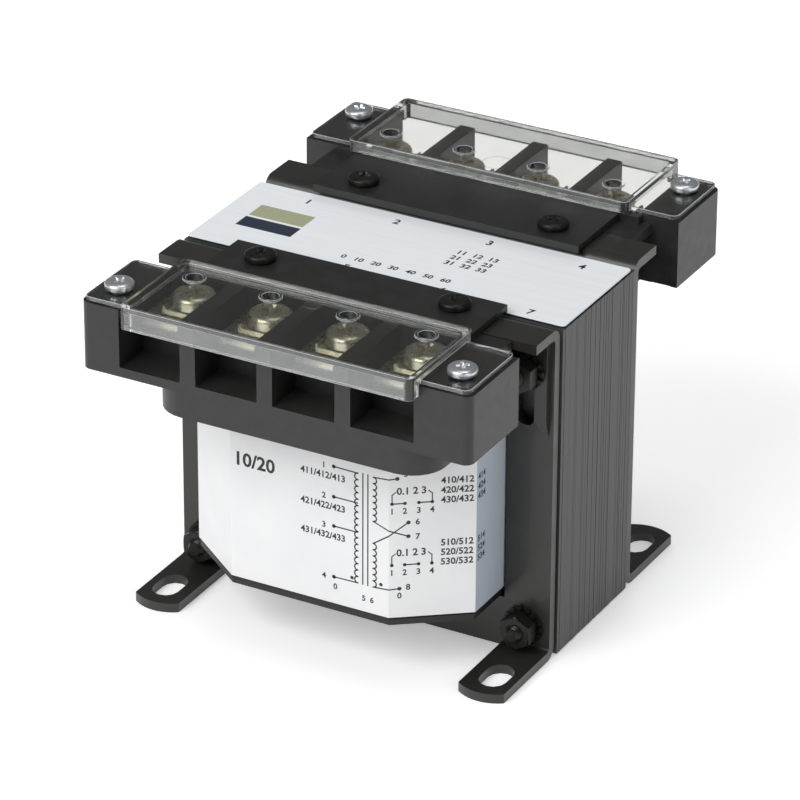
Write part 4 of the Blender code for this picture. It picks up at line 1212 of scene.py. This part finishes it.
@dataclass
class CrossScrew:
    """A cross-recessed pan-head screw about Z, its head's seat at z = 0.

    Attributes:
        head_radius: Radius of the head, in millimetres.
        head: Height of the head.
        radius: Radius over the thread.
        length: Length under the head.
        pitch: Pitch of the thread.
        slot: Width of the recess's arms.
        crown: Where the head's rounding starts, and how far it falls, as shares of its radius and height.
        recess: Reach and depth of the recess, as shares of the head's radius and height.
        taper: How narrow the recess's arms are at their bottom, along and across.
        rim: Chamfer under the head.
        edge: Rounding of the edges.
    """

    head_radius: float
    head: float
    radius: float
    length: float
    pitch: float = 0.794
    slot: float = 1.0
    crown: Point2 = (0.55, 0.45)
    recess: Point2 = (0.60, 0.55)
    taper: Point2 = (0.55, 0.8)
    rim: float = 0.12
    edge: float = 0.06

    def mesh(self, name: str) -> Mesh:
        """Builds the screw."""
        top = self.head
        start, fall = self.crown
        profile = [(0.0, top), (self.head_radius * 0.5, top)]
        steps = 8
        for i in range(1, steps + 1):
            angle = math.pi / 2 * i / steps
            profile.append((self.head_radius * (start + (1 - start) * math.sin(angle)),
                            top - self.head * fall * (1 - math.cos(angle))))
        profile += [(self.head_radius, self.rim), (self.head_radius - self.rim, 0.0), (self.radius, 0.0)]
        profile += thread_profile(self.radius, self.pitch, -0.1, -self.length + self.radius)
        profile += [(self.radius * 0.5, -self.length), (0.0, -self.length)]
        body = new_piece(name, lathe(name, profile, 40))
        reach, depth = self.head_radius * self.recess[0], self.head * self.recess[1]
        arms = []
        for turn in (0.0, 90.0):
            arm = slab("arm", (-reach, -self.slot / 2, top - depth), (reach, self.slot / 2, top + 1.0))
            for vertex in arm.data.vertices:
                if vertex.co.z < top * MM:
                    vertex.co.x *= self.taper[0]
                    vertex.co.y *= self.taper[1]
            arm.data.transform(Matrix.Rotation(math.radians(turn), 4, "Z"))
            arms.append(arm)
        cross = boolean(arms[0], [arms[1]], "UNION")
        boolean(body, [cross], "DIFFERENCE")
        return taken(bevelled(body, self.edge, 1, 40))

    def set_in(self, name: str, mesh: Mesh, node: str, turn: float, body: str, finish: Finish,
               slot: str) -> None:
        """Puts the screw's mesh in the place of a CAD screw.

        Args:
            name: The piece's name.
            mesh: The screw's mesh.
            node: The CAD screw.
            turn: Turn of its recess, in degrees.
            body: The CAD body that it rides on.
            finish: Its finish.
            slot: The record's material slot; not used.
        """
        low, high = box_of(node)
        middle = (low + high) / 2
        place = Matrix.Translation(Vector((middle.x, middle.y, high.z - self.head)) * MM)
        turned = place @ Matrix.Rotation(math.radians(turn), 4, "Z")
        settle(new_piece(name, moved(mesh, turned)), body, finish, [node])


@dataclass
class Terminals:
    """Eight screw terminals: plate, clamp plate and screw.

    Attributes:
        screw: The terminal screw.
        turns: Turn of a screw's recess before the first, and from each to the next, in degrees.
        edge: Rounding of the plates' edges, in millimetres.
    """

    screw: CrossScrew = field(default_factory=lambda: CrossScrew(4.4, 2.8, 2.0, 7.8))
    turns: Point2 = (17.0, 41.0)
    edge: float = 0.15

    def build(self) -> None:
        """Makes each terminal on its own bodies."""
        mesh = self.screw.mesh("terminal_screw")
        for number in range(1, 9):
            turn = self.turns[0] + self.turns[1] * number + (0.0 if number <= 4 else 180.0)
            self.screw.set_in(f"cross_screw_{number}", mesh, f"terminal_screw_{number}", turn,
                              f"screw_{number}", STRAW_PLATE, "bright_zinc")
            for name, node, body in (("square_clamp", "clamp_plate", f"clamp_{number}"),
                                     ("contact_plate", "terminal_plate", BODY)):
                dressed(f"{name}_{number}", f"{node}_{number}", body, STRAW_PLATE, self.edge)


@dataclass
class Covers:
    """The two clear covers.

    Attributes:
        edge: Rounding of the edges, in millimetres.
        wall: Upright faces above this area, in square millimetres, are walls; smaller ones are hole sides,
            which take the painted shade.
        mark_radius: Radius of the round mark that the mould's pin leaves.
        mark_line: Width and height of the mark's rim.
        mark_place: Its middle at the front cover: along X, out from the core, and below the highest point.
    """

    edge: float = 0.4
    wall: float = 3.2
    mark_radius: float = 3.0
    mark_line: Point2 = (0.1, 0.04)
    mark_place: Point3 = (-0.2, 36.8, 0.3)

    def build(self) -> None:
        """Makes both covers, with painted highlights on their edges, painted shade on their hole sides, and
        faint mould marks.
        """
        for end in End:
            node = f"{end.label}_cover"
            piece = clean_copy(f"{end.label}_clear_cover", node)
            for finish in (CLEAR_COVER, COVER_EDGE_HIGHLIGHT, COVER_WALL, COVER_HOLE_SHADE):
                piece.data.materials.append(Shelf.get(finish))
            # Large upright faces are milky walls; small ones are hole sides and take the painted shade.
            for face in piece.data.polygons:
                if abs(face.normal.z) < UPRIGHT:
                    face.material_index = 2 if face.area > self.wall * MM * MM else 3
            # The rounding of the edges takes material 1, the painted highlight.
            settle(bevelled(piece, self.edge, 3, slot=1), BODY, CLEAR_COVER, [node])
            across, out, under = self.mark_place
            width, height = self.mark_line
            low = box_of(node)[1].z - under
            inner, high = self.mark_radius - width, low + height
            outer = self.mark_radius
            profile = [(inner, high), (outer, high), (outer, low), (inner, low), (inner, high)]
            place = Matrix.Rotation(end.value, 4, "Z") @ Matrix.Translation(Vector((across, -out, 0.0)) * MM)
            ring = new_piece(f"{end.label}_mould_mark", moved(lathe("mould_mark", profile), place))
            settle(ring, BODY, CLEAR_COVER)


@dataclass
class SmallScrews:
    """Screws of the blocks and of the covers.

    Attributes:
        block_screw: The screw of a block.
        cover_screw: The screw of a cover.
        turns: Turn of a screw's recess before the first, and from each to the next, in degrees.
    """

    block_screw: CrossScrew = field(default_factory=lambda: CrossScrew(3.2, 1.5, 1.5, 6.0, 0.7, 0.9))
    cover_screw: CrossScrew = field(default_factory=lambda: CrossScrew(2.9, 1.6, 1.4, 7.8, 0.7, 0.8))
    turns: Point2 = (23.0, 53.0)

    def build(self) -> None:
        """Makes eight screws from two shapes."""
        kinds = (("block_screw", self.block_screw, BLACK_ZINC, "black_zinc"),
                 ("cover_screw", self.cover_screw, BRIGHT_ZINC, "bright_zinc"))
        for stem, screw, finish, slot in kinds:
            mesh = screw.mesh(stem)
            for number in range(1, 5):
                node = f"{stem}_{number}"
                turn = self.turns[0] + self.turns[1] * number
                screw.set_in(f"pan_head_{node}", mesh, node, turn, BODY, finish, slot)


@dataclass
class TopPlate:
    """The printed plate on the core: fields of colour and plain numbers.

    Attributes:
        edge: Rounding of the plate's edge, in millimetres.
        khaki: Left front and right rear corner of the upper field.
        navy: The same of the lower field.
        rear_marks: Middles of the numbers beside the rear terminals.
        front_marks: Middles of the numbers beside the front terminals.
        mark: Height of these numbers.
        rows: Other rows of numbers, each with its middle and height.
    """

    edge: float = 0.08
    khaki: tuple[Point2, Point2] = ((-35.9, -0.4), (-23.6, 4.9))
    navy: tuple[Point2, Point2] = ((-36.0, -5.5), (-23.5, -1.2))
    rear_marks: tuple[Point2, ...] = ((-28.5, 10.6), (-8.5, 10.9), (12.2, 11.2), (32.9, 10.5))
    front_marks: tuple[Point2, ...] = ((-7.3, -12.0), (14.0, -12.0), (33.3, -12.2))
    mark: float = 2.0
    rows: tuple = (("0   10   20   30   40   50   60", (1.6, -8.0), 1.5), ("11  12  13", (13.0, 4.6), 1.6),
                   ("21  22  23", (13.0, 2.0), 1.6), ("31  32  33", (13.0, -0.6), 1.6))

    def field_of_colour(self, name: str, corners: tuple[Point2, Point2], finish: Finish,
                        place: Callable[[Vector], Vector]) -> None:
        """Prints a flat rectangle.

        Args:
            name: The piece's name.
            corners: Left front and right rear corner, in millimetres.
            finish: The ink.
            place: Lays the print on the plate.
        """
        (left, front), (right, rear) = corners
        ink = Ink()
        middle, width = (front + rear) / 2, rear - front
        ink.bar((left + width / 2, middle), (right - width / 2, middle), width)
        settle(ink.laid(name, place), BODY, finish)

    def build(self) -> None:
        """Makes the plate and its print."""
        dressed("printed_plate", "top_plate", BODY, PLATE_ALUMINIUM, self.edge, 1)
        top = box_of("top_plate")[1].z

        def place(point: Vector) -> Vector:
            return Vector((point.x, point.y, top + point.z))

        self.field_of_colour("khaki_field", self.khaki, KHAKI_INK, place)
        self.field_of_colour("navy_field", self.navy, NAVY_INK, place)
        ink = Ink()
        for number, spot in enumerate(self.rear_marks + self.front_marks, 1):
            ink.figures(str(number), spot, self.mark)
        for row, spot, height in self.rows:
            ink.figures(row, spot, height)
        settle(ink.laid("plate_numbers", place), BODY, BLACK_INK)


def main() -> None:
    """Builds every part of the scene in order."""
    logging.basicConfig(level=logging.INFO, format="%(message)s")
    for kind in (Studio, CoreStack, EndFrames, CoreBolts, Coil, TerminalBlocks, Terminals, Covers,
                 SmallScrews, TopPlate):
        LOG.info("building %s", kind.__name__)
        kind().build()


if __name__ == "__main__":
    main()
